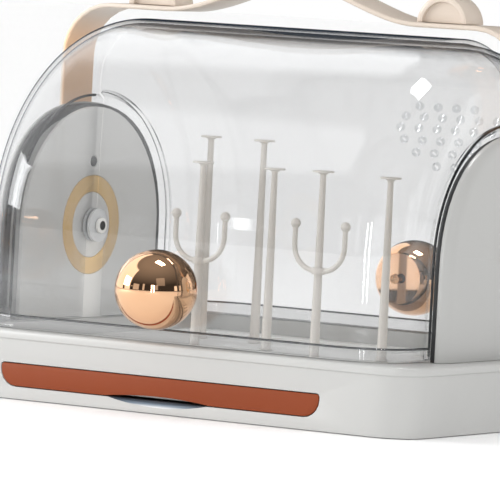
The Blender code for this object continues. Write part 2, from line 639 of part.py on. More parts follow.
def make_end_wall(side, word):
    """An end wall: a rounded outer shell, an inner panel with its gold ring, and a dark seal."""
    lifted = COVER_BOTTOM + END_SHELL_LIP
    core = broad_arch(SEAL_HEIGHT + SEAL_INSET, lifted + END_SHELL_LIP)
    rings = [in_plane(arch(NECK_RADIUS, lifted), side * NECK_X),
             in_plane(broad_arch(NECK_FLARE, lifted), side * SEAL_X),
             in_plane(core, side * SEAL_X),
             in_plane(core, side * END_SHELL_X),
             in_plane(broad_arch(END_SHELL_LIP), side * END_SHELL_X)]
    start = END_SHELL_FACE_X - END_SHELL_ROUND * END_SHELL_SQUASH_SHARE
    for along, out in arc_points(0, 0, END_SHELL_ROUND, 90, 0, SHOULDER_STEPS):
        rim = broad_arch(END_SHELL_ROUND - out)
        rings.append(in_plane(rim, side * (start + along * END_SHELL_SQUASH_SHARE)))
    shell = loft(f"{word}_end_shell", rings, WHITE)
    screw_z = AXIS_HEIGHT + PANEL_SCREW_RISE
    bore = SCREW_RADIUS + SEAT_GAP
    deep = NECK_X + PANEL_SCREW_DEPTH
    cut(shell, rod(f"{word}_panel_bore", bore, *along_x(side, PANEL_FACE_X, deep, 0, screw_z)))
    bore = HANDLE_SCREW_RADIUS + SEAT_GAP
    deep = END_SHELL_FACE_X - HANDLE_SCREW_DEPTH - SEAT_GAP
    cut(shell, rod(f"{word}_arm_bore", bore, *along_x(side, deep, END_SHELL_FACE_X + OVERRUN)))
    smooth(shell)

    outlines = [arch(PANEL_RADIUS), arc_points(0, AXIS_HEIGHT, PIVOT_RADIUS + SEAT_GAP, *BORE_ANGLES),
                arc_points(0, screw_z, SCREW_RADIUS + SEAT_GAP, *BORE_ANGLES)]
    middle = side * (PANEL_FACE_X + PANEL_BACK_X) / 2
    panel = flat_piece(f"{word}_end_panel", outlines, PANEL_THICKNESS, WHITE, STAND_YZ, (middle, 0, 0))
    seat = PANEL_FACE_X + PANEL_SCREW_SEAT
    cut(panel, rod(f"{word}_screw_seat", PANEL_SCREW_BORE,
                   *along_x(side, PANEL_FACE_X - OVERRUN, seat, 0, screw_z)))
    face = PANEL_FACE_X - RING_PROUD
    groove = face + RING_THICKNESS + SEAT_GAP
    ring_turn = [(RING_OUTER_RADIUS + SEAT_GAP, face - OVERRUN), (RING_OUTER_RADIUS + SEAT_GAP, groove),
                 (RING_INNER_RADIUS - SEAT_GAP, groove), (RING_INNER_RADIUS - SEAT_GAP, face - OVERRUN),
                 (RING_OUTER_RADIUS + SEAT_GAP, face - OVERRUN)]
    cut(panel, ring_piece(f"{word}_ring_groove", ring_turn, None, side))
    ring_turn = [(RING_OUTER_RADIUS, face), (RING_OUTER_RADIUS, face + RING_THICKNESS),
                 (RING_INNER_RADIUS, face + RING_THICKNESS), (RING_INNER_RADIUS, face),
                 (RING_OUTER_RADIUS, face)]
    smooth(ring_piece(f"{word}_gold_ring", ring_turn, GOLD, side))

    depth = SEAL_DEPTH - 2 * SEAT_GAP
    inner = broad_arch(SEAL_HEIGHT + SEAL_INSET - SEAT_GAP)
    outline = broad_arch(SEAL_INSET) + inner[::-1]
    flat_piece(f"{word}_seal", [outline], depth, SEAL, STAND_YZ,
               (side * (SEAL_X + SEAL_DEPTH / 2), 0, 0))

    head = seat - SEAT_GAP
    profile = [(0.0, head - SCREW_HEAD_THICKNESS), (SCREW_HEAD_RADIUS, head - SCREW_HEAD_THICKNESS),
               (SCREW_HEAD_RADIUS, head), (SCREW_RADIUS, head),
               (SCREW_RADIUS, NECK_X + PANEL_SCREW_DEPTH - SEAT_GAP),
               (0.0, NECK_X + PANEL_SCREW_DEPTH - SEAT_GAP)]
    turned(f"{word}_panel_screw", profile, STEEL, OUT_AXIS[side], (0, 0, screw_z))
    profile = [(0.0, PIVOT_HEAD_X - PIVOT_HEAD_THICKNESS),
               (PIVOT_HEAD_RADIUS, PIVOT_HEAD_X - PIVOT_HEAD_THICKNESS),
               (PIVOT_HEAD_RADIUS, PIVOT_HEAD_X), (PIVOT_RADIUS, PIVOT_HEAD_X),
               (PIVOT_RADIUS, PANEL_BACK_X), (0.0, PANEL_BACK_X)]
    turned(f"{word}_pivot_pin", profile, STEEL, OUT_AXIS[side], (0, 0, AXIS_HEIGHT))


def ring_piece(name, profile, finish, side):
    """A closed ring about the pivot line, from a closed profile of (radius, X)."""
    turned_ring = turned(name, profile, finish, OUT_AXIS[side], (0, 0, AXIS_HEIGHT), RING_STEPS)
    return frozen(turned_ring, finish)


def cover_section(radius, end_x, shoulder, web_radius, plates=()):
    """A cover's section in X and radius: side plates, flat webs, round shoulders, a straight crown."""
    edge = end_x - shoulder
    right = list(plates) + [(end_x, web_radius)]
    right += arc_points(edge, radius - shoulder, shoulder, 0, 90, SHOULDER_STEPS)
    return right + [(-x, r) for x, r in reversed(right)]


def cover_skin(name, section, seam_angle, side):
    """The clear wall of a cover: its section swept down from the seam and then drawn straight down."""
    bm = bmesh.new()
    angle = math.radians(seam_angle)
    verts = []
    for x, r in section:
        y = side * r * math.cos(angle)
        verts.append(bm.verts.new((x, y, AXIS_HEIGHT + r * math.sin(angle))))
    edges = [bm.edges.new(pair) for pair in zip(verts, verts[1:])]
    spun = bmesh.ops.spin(bm, geom=verts + edges, cent=(0, 0, AXIS_HEIGHT), axis=(-side, 0, 0),
                          angle=angle, steps=round(seam_angle / SWEEP_STEP_ANGLE))
    last = [item for item in spun["geom_last"] if isinstance(item, bmesh.types.BMEdge)]
    drawn = bmesh.ops.extrude_edge_only(bm, edges=last)["geom"]
    drawn = [item for item in drawn if isinstance(item, bmesh.types.BMVert)]
    straight = AXIS_HEIGHT - COVER_BOTTOM - FLANGE_SEAT
    bmesh.ops.translate(bm, vec=(0, 0, -straight), verts=drawn)
    bmesh.ops.recalc_face_normals(bm, faces=bm.faces)
    facing = sum((face.normal.dot(face.calc_center_median() - Vector((0, 0, AXIS_HEIGHT)))
                  for face in bm.faces), 0.0)
    if facing < 0:
        bmesh.ops.reverse_faces(bm, faces=bm.faces)
    mesh = bpy.data.meshes.new(name)
    bm.to_mesh(mesh)
    bm.free()
    skin = bpy.data.objects.new(name, mesh)
    place(skin, CLEAR)
    wall = skin.modifiers.new("wall", "SOLIDIFY")
    wall.thickness = COVER_WALL
    wall.offset = -1.0
    wall.use_even_offset = True
    return skin


def flange_outline(radius, end_x, shoulder, web_radius, side):
    """The thick foot of a cover in plan, which wraps the wall on both faces."""
    def line(grow):
        points = cover_section(radius + grow, end_x + grow, shoulder + grow, web_radius + FLANGE_PROUD)
        return [(x, side * r) for x, r in points]
    return line(FLANGE_PROUD) + list(reversed(line(-COVER_WALL - FLANGE_BACK)))


def make_cover(word, radius, end_x, shoulder, web_radius, seam_angle, plate_x, side):
    """One clear cover with its foot flange and its two side plates, each with an eye at the pivot."""
    plates = [(plate_x, HUB_RADIUS), (plate_x, web_radius - WEB_STEP)]
    section = cover_section(radius, end_x, shoulder, web_radius, plates)
    cover = cover_skin(f"{word}_cover", section, seam_angle, side)
    outline = flange_outline(radius, end_x, shoulder, web_radius, side)
    fuse(cover, flat_piece(f"{word}_flange", [outline], FLANGE_HEIGHT, None, None,
                           (0, 0, COVER_BOTTOM + FLANGE_HEIGHT / 2)))
    eye = arc_points(0, AXIS_HEIGHT, EYE_RADIUS, *EYE_ANGLES)
    bore = arc_points(0, AXIS_HEIGHT, PIVOT_RADIUS + SEAT_GAP, *BORE_ANGLES)
    for way in (-1, 1):
        centre = (way * (plate_x - COVER_WALL / 2), 0, 0)
        fuse(cover, flat_piece(f"{word}_eye", [eye, bore], EYE_THICKNESS, None, STAND_YZ, centre))
    depth = Vector((0, COVER_WALL * 2, 0))
    hole = Vector((0, side * radius, KNOB_HEIGHT))
    cut(cover, rod(f"{word}_screw_cutter", SCREW_RADIUS + SEAT_GAP, hole - depth, hole + depth))
    return cover


def make_vents(cover):
    """A round field of vent holes through the rear cover, high on its right half."""
    bm = bmesh.new()
    for row, count in enumerate(VENT_ROW_COUNTS):
        angle = math.radians(VENT_LOW_ANGLE) + row * VENT_PITCH_ARC / REAR_RADIUS
        out = Vector((0, math.cos(angle), math.sin(angle)))
        turn = out.to_track_quat("Z", "X").to_matrix().to_4x4()
        for column in range(count):
            x = VENT_CENTRE_X + (column - (count - 1) / 2) * VENT_PITCH_X
            middle = Vector((x, 0, AXIS_HEIGHT)) + out * (REAR_RADIUS - COVER_WALL / 2)
            bmesh.ops.create_cone(bm, cap_ends=True, segments=8, radius1=VENT_RADIUS,
                                  radius2=VENT_RADIUS, depth=COVER_WALL * 3,
                                  matrix=Matrix.Translation(middle) @ turn)
    cut(cover, object_from("vent_cutter", bm))


def make_knob(word, radius, side):
    """An egg-shaped knob with a flat back, and the screw that holds it from inside the cover."""
    back = radius + SEAT_GAP
    start = math.asin((back - KNOB_CENTRE_Y) / KNOB_LENGTH)
    bore = SCREW_RADIUS + SEAT_GAP
    profile = [(0.0, KNOB_CENTRE_Y + KNOB_LENGTH)]
    for step in range(1, TURN_STEPS + 1):
        angle = math.pi / 2 + (start - math.pi / 2) * step / TURN_STEPS
        profile.append((KNOB_RADIUS * math.cos(angle), KNOB_CENTRE_Y + KNOB_LENGTH * math.sin(angle)))
    profile += [(bore, back), (bore, back + KNOB_BORE_DEPTH), (0.0, back + KNOB_BORE_DEPTH)]
    turned(f"{word}_knob", profile, GOLD, "Y" if side > 0 else "-Y", (0, 0, KNOB_HEIGHT), RING_STEPS)

    inside = radius - COVER_WALL - SEAT_GAP
    head = inside - SCREW_HEAD_THICKNESS
    tip = back + KNOB_BORE_DEPTH - SEAT_GAP
    profile = [(0.0, tip), (SCREW_RADIUS, tip), (SCREW_RADIUS, inside), (SCREW_HEAD_RADIUS, inside),
               (SCREW_HEAD_RADIUS, head), (0.0, head)]
    turned(f"{word}_knob_screw", profile, STEEL, "Y" if side > 0 else "-Y", (0, 0, KNOB_HEIGHT))


def hump(x):
    """Height of the strap over its flat shoulders, and its slope, at one X."""
    if abs(x) >= HANDLE_HUMP_HALF:
        return 0.0, 0.0
    turn = math.pi * x / HANDLE_HUMP_HALF
    slope = -HANDLE_HUMP * math.pi / HANDLE_HUMP_HALF * math.sin(turn) / 2
    return HANDLE_HUMP * (1 + math.cos(turn)) / 2, slope


def handle_route():
    """The strap's middle line as X, Z, its outward normal and its half width, left end to right end."""
    middle = HANDLE_TOP - HANDLE_THICKNESS / 2
    half = HANDLE_WIDTH / 2
    bend_x, bend_z = HANDLE_ARM_X - HANDLE_BEND, middle - HANDLE_BEND
    right = []
    for across, down in arc_points(0, 0, half, 285, 360, CORNER_STEPS):
        right.append((HANDLE_ARM_X, AXIS_HEIGHT + down, 1.0, 0.0, across))
    for u, v in arc_points(bend_x, bend_z, HANDLE_BEND, 0, 90, SHOULDER_STEPS):
        out = Vector((u - bend_x, v - bend_z)).normalized()
        right.append((u, v, out.x, out.y, half))
    for step in range(TURN_STEPS + 1):
        x = HANDLE_HUMP_HALF * (1 - step / TURN_STEPS)
        rise, slope = hump(x)
        out = Vector((-slope, 1.0)).normalized()
        right.append((x, middle + rise, out.x, out.y, half))
    left = [(-x, z, -nx, nz, wide) for x, z, nx, nz, wide in right[:-1]]
    return left + right[::-1]


def make_handle():
    """The carry handle: one bent strap screwed to the end walls, with an ear on each shoulder."""
    thick = HANDLE_THICKNESS / 2
    edge = thick / 2
    rings = []
    for x, z, nx, nz, half in handle_route():
        section = [(thick, half - edge), (thick - edge, half), (-thick + edge, half),
                   (-thick, half - edge), (-thick, -half + edge), (-thick + edge, -half),
                   (thick - edge, -half), (thick, -half + edge)]
        rings.append([(x + nx * n, w, z + nz * n) for n, w in section])
    strap = loft("handle_strap", rings, BEIGE)
    arm_out = HANDLE_ARM_X + thick
    for side, word in SIDES:
        bore = HANDLE_SCREW_RADIUS + SEAT_GAP
        cut(strap, rod(f"{word}_strap_bore", bore,
                       *along_x(side, END_SHELL_FACE_X, arm_out + OVERRUN)))
        make_ear(side, word)
        under = arm_out + SEAT_GAP
        head = under + SCREW_HEAD_THICKNESS
        tip = END_SHELL_FACE_X - HANDLE_SCREW_DEPTH
        profile = [(0.0, tip), (HANDLE_SCREW_RADIUS, tip), (HANDLE_SCREW_RADIUS, under),
                   (HANDLE_SCREW_HEAD_RADIUS, under), (HANDLE_SCREW_HEAD_RADIUS, head), (0.0, head)]
        turned(f"{word}_handle_screw", profile, BEIGE, OUT_AXIS[side], (0, 0, AXIS_HEIGHT))
    return smooth(strap)


def make_ear(side, word):
    """A half-round ear that stands on the strap, dished on both faces."""
    middle = side * EAR_X
    deep = EAR_THICKNESS / 2
    start, end = Vector((middle, -deep, EAR_HEIGHT)), Vector((middle, deep, EAR_HEIGHT))
    ear = rod(f"{word}_ear", EAR_RADIUS, start, end, BEIGE, RING_STEPS)
    for way in (-1, 1):
        face = Vector((middle, way * deep, EAR_HEIGHT))
        depth = Vector((0, EAR_DISH_DEPTH, 0))
        cut(ear, rod(f"{word}_ear_dish", EAR_DISH_RADIUS, face - depth, face + depth, None, RING_STEPS))
    span = EAR_RADIUS + OVERRUN
    low = EAR_HEIGHT - span
    outline = [(middle - span, low), (middle + span, low)]
    for step in range(TURN_STEPS + 1):
        x = middle + span * (1 - 2 * step / TURN_STEPS)
        outline.append((x, HANDLE_TOP + SEAT_GAP + hump(x)[0]))
    cut(ear, flat_piece(f"{word}_ear_seat", [outline], EAR_THICKNESS * 2, None, STAND_XZ))
    return smooth(ear)


def make_drawer():
    """The drip drawer: a shallow tray behind a rust-coloured front."""
    half_depth = (TRAY_BACK_Y - TRAY_FRONT_Y) / 2
    centre = (TRAY_BACK_Y + TRAY_FRONT_Y) / 2

    def tray_ring(inset, z):
        points = rounded_rectangle(TRAY_LENGTH / 2 - inset, half_depth - inset, TRAY_CORNER - inset,
                                   centre)
        return [(x, y, z) for x, y in points]

    rings = [tray_ring(0.0, TRAY_BOTTOM), tray_ring(0.0, TRAY_TOP), tray_ring(TRAY_WALL, TRAY_TOP),
             tray_ring(TRAY_WALL, TRAY_BOTTOM + TRAY_WALL)]
    smooth(loft("drawer_tray", rings, WHITE))
    front = flat_piece("drawer_front", [drawer_outline(0.0)], DRAWER_FRONT_THICKNESS, RUST, STAND_XZ,
                       (0, DRAWER_FACE_Y + DRAWER_FRONT_THICKNESS / 2, 0))
    cut(front, SCOOP)
    smooth(front)


SIDES = ((-1, "left"), (1, "right"))
OUT_AXIS = {-1: "-X", 1: "X"}
PEGS = [
    ("front_left_peg", -FRONT_PEG_X, FRONT_PEG_Y, FRONT_PEG_TOP),
    ("front_right_peg", FRONT_PEG_X, FRONT_PEG_Y, FRONT_PEG_TOP),
    ("middle_left_peg", MIDDLE_LEFT_PEG_X, MIDDLE_PEG_Y, MIDDLE_PEG_TOP),
    ("middle_right_peg", MIDDLE_RIGHT_PEG_X, MIDDLE_PEG_Y, MIDDLE_PEG_TOP),
    ("rear_left_peg", REAR_LEFT_PEG_X, REAR_PEG_Y, REAR_PEG_TOP),
    ("rear_right_peg", REAR_RIGHT_PEG_X, REAR_PEG_Y, REAR_PEG_TOP),
]

clear_scene()
RACK = make_collection("baby bottle drying rack")
CUTTERS = make_collection("cutters")
SCOOP = flat_piece("scoop_cutter", [scoop_outline()], 2 * (BASE_WALL + OVERRUN), None, STAND_XZ,
                   (0, DRAWER_FACE_Y, 0))

make_base()
make_drain_plate()
for peg in PEGS:
    make_peg(*peg)
make_hook("left_teat_hook", -FRONT_PEG_X, FRONT_PEG_Y)
make_hook("right_teat_hook", FRONT_PEG_X, FRONT_PEG_Y)
for side, word in SIDES:
    make_end_wall(side, word)
make_cover("front", COVER_RADIUS, COVER_END_X, COVER_SHOULDER, FRONT_WEB_RADIUS, FRONT_SEAM_ANGLE,
           FRONT_PLATE_X, -1)
rear_cover = make_cover("rear", REAR_RADIUS, REAR_END_X, REAR_SHOULDER, REAR_WEB_RADIUS,
                        REAR_SEAM_ANGLE, REAR_PLATE_X, 1)
make_vents(rear_cover)
make_knob("front", COVER_RADIUS, -1)
make_knob("rear", REAR_RADIUS, 1)
make_handle()
make_drawer()
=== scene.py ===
# %% [markdown]
# Baby bottle drying rack: a dressed model for the render.
#
# A CAD model gives every part's place and size. This notebook loads it, and then makes the finished
# surfaces: smooth edges, clear covers, rose gold knobs, and small things such as the sockets in the pins.
# Lengths are in metres, +Z is up and -Y is the front.

# %% Load the frame
import json
import math

import bmesh
import bpy
from mathutils import Matrix, Vector

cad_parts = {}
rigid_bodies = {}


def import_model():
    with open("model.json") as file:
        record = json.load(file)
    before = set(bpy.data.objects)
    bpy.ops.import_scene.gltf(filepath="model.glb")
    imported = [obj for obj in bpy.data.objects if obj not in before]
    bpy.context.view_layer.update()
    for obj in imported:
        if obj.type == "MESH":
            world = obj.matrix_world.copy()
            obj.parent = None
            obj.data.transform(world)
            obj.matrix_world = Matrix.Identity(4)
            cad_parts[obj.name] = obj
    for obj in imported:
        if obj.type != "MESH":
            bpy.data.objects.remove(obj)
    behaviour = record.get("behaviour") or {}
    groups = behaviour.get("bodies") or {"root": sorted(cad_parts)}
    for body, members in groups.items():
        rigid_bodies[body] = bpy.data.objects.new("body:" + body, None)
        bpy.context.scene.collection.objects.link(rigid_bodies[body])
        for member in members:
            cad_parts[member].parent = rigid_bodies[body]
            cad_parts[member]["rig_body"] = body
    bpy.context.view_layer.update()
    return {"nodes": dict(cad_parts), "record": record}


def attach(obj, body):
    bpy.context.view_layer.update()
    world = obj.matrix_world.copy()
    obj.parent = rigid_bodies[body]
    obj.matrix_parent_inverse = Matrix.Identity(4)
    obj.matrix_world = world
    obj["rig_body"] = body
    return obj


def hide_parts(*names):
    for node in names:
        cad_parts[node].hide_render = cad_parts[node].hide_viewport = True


MM = 0.001
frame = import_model()
NODES = frame["nodes"]
BODY_OF = {name: node["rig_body"] for name, node in NODES.items()}

# %% [markdown]
# The camera stands to the front right and low down, with a long lens, and is rolled a little. A long lens
# keeps the box's far edges nearly parallel to its near ones. Its place is written as three angles, an aim
# and a distance, and the view's own three axes follow from them.

# %% Camera
CAMERA_TURN = math.radians(32.64)
CAMERA_PITCH = math.radians(3.25)
CAMERA_ROLL = math.radians(2.98)
CAMERA_AIM = Vector((-32.65, 0.0, 102.20)) * MM
CAMERA_DISTANCE = 4128.32 * MM
CAMERA_REACH = 50.0
FOCAL_PIXELS = 6124.13
PHOTO_PIXELS = 500
SENSOR_WIDTH = 36.0

camera_back = Vector((math.sin(CAMERA_TURN) * math.cos(CAMERA_PITCH),
                      -math.cos(CAMERA_TURN) * math.cos(CAMERA_PITCH), math.sin(CAMERA_PITCH)))
camera_place = CAMERA_AIM + camera_back * CAMERA_DISTANCE
level_right = (-camera_back).cross(Vector((0, 0, 1))).normalized()
level_up = level_right.cross(-camera_back)
camera_right = math.cos(CAMERA_ROLL) * level_right + math.sin(CAMERA_ROLL) * level_up
camera_up = math.cos(CAMERA_ROLL) * level_up - math.sin(CAMERA_ROLL) * level_right

lens = bpy.data.cameras.new("photo_camera")
lens.sensor_width = SENSOR_WIDTH
lens.lens = FOCAL_PIXELS / PHOTO_PIXELS * SENSOR_WIDTH
lens.clip_end = CAMERA_REACH
camera = bpy.data.objects.new("photo_camera", lens)
bpy.context.scene.collection.objects.link(camera)
camera.matrix_world = (Matrix.Translation(camera_place)
                       @ Matrix((camera_right, camera_up, camera_back)).transposed().to_4x4())
bpy.context.scene.camera = camera
print("lens", round(lens.lens, 1), "mm at", round(CAMERA_DISTANCE, 2), "m")


# %% [markdown]
# Materials and geometry trees are written as sums. A `Signal` wraps one socket, and Python's own
# operators on it add the Math nodes, so that `0.3 + 0.1 * grain` reads like the sum that it is. The same
# nodes could be placed and linked by hand, but then the sum is hard to read back from them.

# %% Sums of nodes
class Signal:
    """A number, colour, vector or shape on its way through a node tree."""

    def __init__(self, graph, socket):
        self.graph = graph
        self.socket = socket

    def math(self, operation, *values):
        return self.graph.node("ShaderNodeMath", {"operation": operation}, dict(enumerate(values)))

    def __add__(self, other):
        return self.math("ADD", self, other)

    def __radd__(self, other):
        return self.math("ADD", other, self)

    def __sub__(self, other):
        return self.math("SUBTRACT", self, other)

    def __rsub__(self, other):
        return self.math("SUBTRACT", other, self)

    def __mul__(self, other):
        return self.math("MULTIPLY", self, other)

    def __rmul__(self, other):
        return self.math("MULTIPLY", other, self)

    def __truediv__(self, other):
        return self.math("DIVIDE", self, other)

    def __rtruediv__(self, other):
        return self.math("DIVIDE", other, self)

    def __pow__(self, other):
        return self.math("POWER", self, other)

    def __rpow__(self, other):
        return self.math("POWER", other, self)

    def __abs__(self):
        return self.math("ABSOLUTE", self)

    def sign(self):
        return self.math("SIGN", self)

    def sine(self):
        return self.math("SINE", self)

    def cosine(self):
        return self.math("COSINE", self)

    def between(self, low, high):
        """The value, kept between two others."""
        return self.math("MINIMUM", self.math("MAXIMUM", self, low), high)

    def ramp(self, start, end):
        """0 before start, 1 past end, and a straight slope between."""
        return ((self - start) / (end - start)).between(0.0, 1.0)

    def band(self, low, high, soft):
        """1 between low and high and 0 outside, over a soft edge at each end."""
        return self.ramp(low - soft, low + soft) * (1.0 - self.ramp(high - soft, high + soft))

    def other(self, out):
        """Another output of the same node."""
        return Signal(self.graph, self.socket.node.outputs[out])


# %% [markdown]
# Every other node is made from its type, its settings and what its sockets hold. One method does that for
# materials, for geometry and for the sky, because all three are node trees of the same kind.

# %% Any other node
class Graph:
    """A node tree under construction."""

    def node(self, kind, settings=None, sockets=None, out=0):
        made = self.tree.nodes.new(kind)
        for name, value in (settings or {}).items():
            setattr(made, name, value)
        for name, value in (sockets or {}).items():
            if isinstance(value, Signal):
                self.tree.links.new(value.socket, made.inputs[name])
            else:
                made.inputs[name].default_value = value
        return Signal(self, made.outputs[out])


# %% [markdown]
# A `Finish` is one material. Every pattern in it reads the point on the object itself, in metres, so that
# a grain has the same size on a large part and a small one, and stays put when the part moves.

# %% Materials
class Finish(Graph):
    """A material."""

    def __init__(self, name):
        self.material = bpy.data.materials.new(name)
        self.material.use_nodes = True
        self.tree = self.material.node_tree
        self.tree.nodes.clear()
        self.output = self.tree.nodes.new("ShaderNodeOutputMaterial")

    def place(self, scale=(1, 1, 1)):
        """The point on the object, in metres, stretched by scale."""
        at = self.node("ShaderNodeTexCoord", out="Object")
        return self.node("ShaderNodeMapping", {}, {"Vector": at, "Scale": scale})

    def noise(self, scale, detail=2.0, at=None):
        return self.node("ShaderNodeTexNoise", {}, {"Vector": at or self.place(), "Scale": scale,
                                                    "Detail": detail})

    def tint(self, share, first, second):
        """A colour between two others."""
        return self.node("ShaderNodeMix", {"data_type": "RGBA"}, {0: share, 6: first, 7: second}, 2)

    def bump(self, height, distance, strength):
        return self.node("ShaderNodeBump", {}, {"Height": height, "Distance": distance,
                                                "Strength": strength})

    def plastic(self, **sockets):
        """A Principled shader; socket names are written with underscores."""
        return self.node("ShaderNodeBsdfPrincipled", {},
                         {name.replace("_", " "): value for name, value in sockets.items()})

    def mixed(self, share, first, second):
        return self.node("ShaderNodeMixShader", {}, {0: share, 1: first, 2: second})

    def done(self, shader):
        self.tree.links.new(shader.socket, self.output.inputs["Surface"])
        return self.material


def srgb(red, green, blue):
    """A colour read as 0 to 255 levels, turned into the linear one that shaders use."""
    levels = [value / 255 for value in (red, green, blue)]
    return tuple((v / 12.92 if v < 0.04045 else ((v + 0.055) / 1.055) ** 2.4) for v in levels) + (1.0,)


# %% [markdown]
# The housing, the end walls and the drain plate are white. The pegs are a warmer grey and the drawer is
# rust-coloured. All are satin mouldings: the tone drifts slowly over a part, the satin varies a little,
# and a fine pebble from the mould breaks the highlight. The whites differ as painted light, because each
# takes the light in its own way: the plate and the panels stand behind the covers and are painted brighter,
# and the shells face the lamps and are painted darker.

# %% Plastics
DRIFT_SCALE = 9.0
SATIN_SCALE = 60.0
SATIN_SWING = 0.10
PEBBLE_SCALE = 1400.0
PEBBLE_HEIGHT = 0.04 * MM
PEBBLE_STRENGTH = 0.5
FINE_DETAIL = 3.0


def drifting(finish, colour, shade):
    """A colour that drifts slowly to a near shade of it."""
    return finish.tint(finish.noise(DRIFT_SCALE), colour, shade)


def satin(finish, colour, roughness):
    """Satin plastic of a given colour: a gloss that varies, and a faint pebble."""
    swing = finish.noise(SATIN_SCALE, FINE_DETAIL) - 0.5
    pebble = finish.noise(PEBBLE_SCALE, FINE_DETAIL)
    return finish.done(finish.plastic(Base_Color=colour, Roughness=roughness + SATIN_SWING * swing,
                                      Normal=finish.bump(pebble, PEBBLE_HEIGHT, PEBBLE_STRENGTH)))


def moulded(name, colour, shade, roughness):
    """Moulded plastic in one colour and a near shade of it."""
    finish = Finish(name)
    return satin(finish, drifting(finish, colour, shade), roughness)


WHITE = moulded("white_plastic", srgb(191, 191, 189), srgb(184, 184, 182), 0.34)
# Painted light: plate and panels brighter for the light the covers hold back, shells darker under the
# lamps.
PLATE_PAINTED_BRIGHT = moulded("drain_plate_painted_bright", srgb(251, 251, 249), srgb(246, 246, 243), 0.36)
PANEL_PAINTED_BRIGHT = moulded("panel_painted_bright", srgb(250, 249, 246), srgb(244, 243, 240), 0.38)
SHELL_PAINTED_SHADE = moulded("shell_painted_shade", srgb(184, 184, 182), srgb(176, 176, 174), 0.30)
PEG_GREY = moulded("peg_grey", srgb(212, 207, 201), srgb(202, 197, 190), 0.36)
RUST = moulded("drawer_rust", srgb(135, 55, 0), srgb(129, 51, 0), 0.70)
SEAL = moulded("seal_rubber", srgb(26, 27, 28), srgb(42, 43, 44), 0.45)
FOOT = moulded("foot_rubber", srgb(150, 150, 150), srgb(134, 134, 134), 0.70)
print("moulded finishes:", len(bpy.data.materials))


# %% [markdown]
# The strap is cream. The inner faces of its arms stand in shade behind the covers, and that shade is
# painted on them as a deeper tan. Two materials would need the strap cut in two, so one material reads the
# place on the strap and fades from cream to the painted tan.

# %% Strap plastic
PAINTED_SHADE_INNER_X = (150.0 * MM, 168.0 * MM)
PAINTED_SHADE_OUTER_X = (179.7 * MM, 180.9 * MM)
PAINTED_SHADE_TOP = (235.0 * MM, 256.0 * MM)


def strap_plastic():
    """Cream plastic, with painted shade in tan on the inner faces of the arms."""
    finish = Finish("beige_plastic")
    split = finish.node("ShaderNodeSeparateXYZ", {}, {0: finish.place()})
    out, rise = abs(split), split.other(2)
    # Painted shade: the inner faces of the arms, below the top of the strap, fade to tan.
    inner = out.ramp(*PAINTED_SHADE_INNER_X) * (1.0 - out.ramp(*PAINTED_SHADE_OUTER_X)) * (1.0 - rise.ramp(*PAINTED_SHADE_TOP))
    cream = drifting(finish, srgb(212, 199, 186), srgb(206, 192, 178))
    return satin(finish, finish.tint(inner, cream, srgb(252, 208, 168)), 0.36)


BEIGE = strap_plastic()
print("strap finish:", BEIGE.name)


# %% [markdown]
# The knobs are plated in rose gold. A plating is a mirror, so it needs little roughness, and looks real
# only with a trace of haze from wiping and a slight ripple. The ring on each end panel is a satin gold
# band. It has a metallic value of 0, because a mirror there would show only the dark inside of the box.

# %% Metals
TONE_SCALE = 30.0
WIPE_SCALE = 240.0
WIPE_DETAIL = 4.0
WIPE_STRETCH = (1, 1, 6)
WIPE_SWING = 0.04
RIPPLE_SCALE = 35.0
RIPPLE_HEIGHT = 0.05 * MM
RIPPLE_STRENGTH = 0.3


def plated(name, colour, shade, roughness, metallic=1.0):
    """A polished plating: bright, with a faint haze of fine wiping marks."""
    finish = Finish(name)
    wipe = finish.noise(WIPE_SCALE, WIPE_DETAIL, finish.place(WIPE_STRETCH))
    ripple = finish.bump(finish.noise(RIPPLE_SCALE), RIPPLE_HEIGHT, RIPPLE_STRENGTH)
    tone = finish.tint(finish.noise(TONE_SCALE), colour, shade)
    return finish.done(finish.plastic(Base_Color=tone, Metallic=metallic,
                                      Roughness=roughness + WIPE_SWING * wipe, Normal=ripple))


GOLD = plated("rose_gold", srgb(240, 196, 158), srgb(228, 178, 138), 0.02)
RING_GOLD = plated("ring_gold", srgb(255, 219, 156), srgb(255, 212, 146), 0.30, 0.0)
print("metals:", GOLD.name, RING_GOLD.name)


# %% [markdown]
# Clear plastic is see-through face on and dark where it is seen edge on, because there the eye looks
# along the wall and not through it. Just inside that dark contour the wall mirrors the studio. The
# mirrored share grows with the fifth power of the slant, the same on both faces of the wall, because a
# true Fresnel share turns the inner face into a mirror where light is not bent on its way in.

# %% Clear plastic
THROUGH = (0.950, 0.951, 0.952, 1.0)
THROUGH_FOOT = (0.93, 0.93, 0.93, 1.0)
THROUGH_VENT = (0.93, 0.935, 0.94, 1.0)
MILK = (0.86, 0.87, 0.88, 1.0)
MIRROR = (0.94, 0.95, 0.96, 1.0)
MIRROR_ROUGHNESS = 0.02
MIRROR_LEAST = 0.030
MIRROR_GAIN = 0.80
MIRROR_POWER = 5.0
MIRROR_MOST = 0.85
SMEAR_SCALE = 28.0
SMEAR_DETAIL = 4.0
SMEAR_STRETCH = (1, 1, 0.5)
SMEAR_SHARE = 0.010
SMEAR_HEIGHT = 0.1 * MM
SMEAR_STRENGTH = 0.05
CONTOUR = (0.035, 0.045, 0.060, 1.0)
CONTOUR_STEPS = ((0.30, 0.70, 0.86), (0.75, 0.83, 0.90))
CONTOUR_SCALE = 14.0
CONTOUR_LEAST = 0.80
CONTOUR_SWING = 0.40


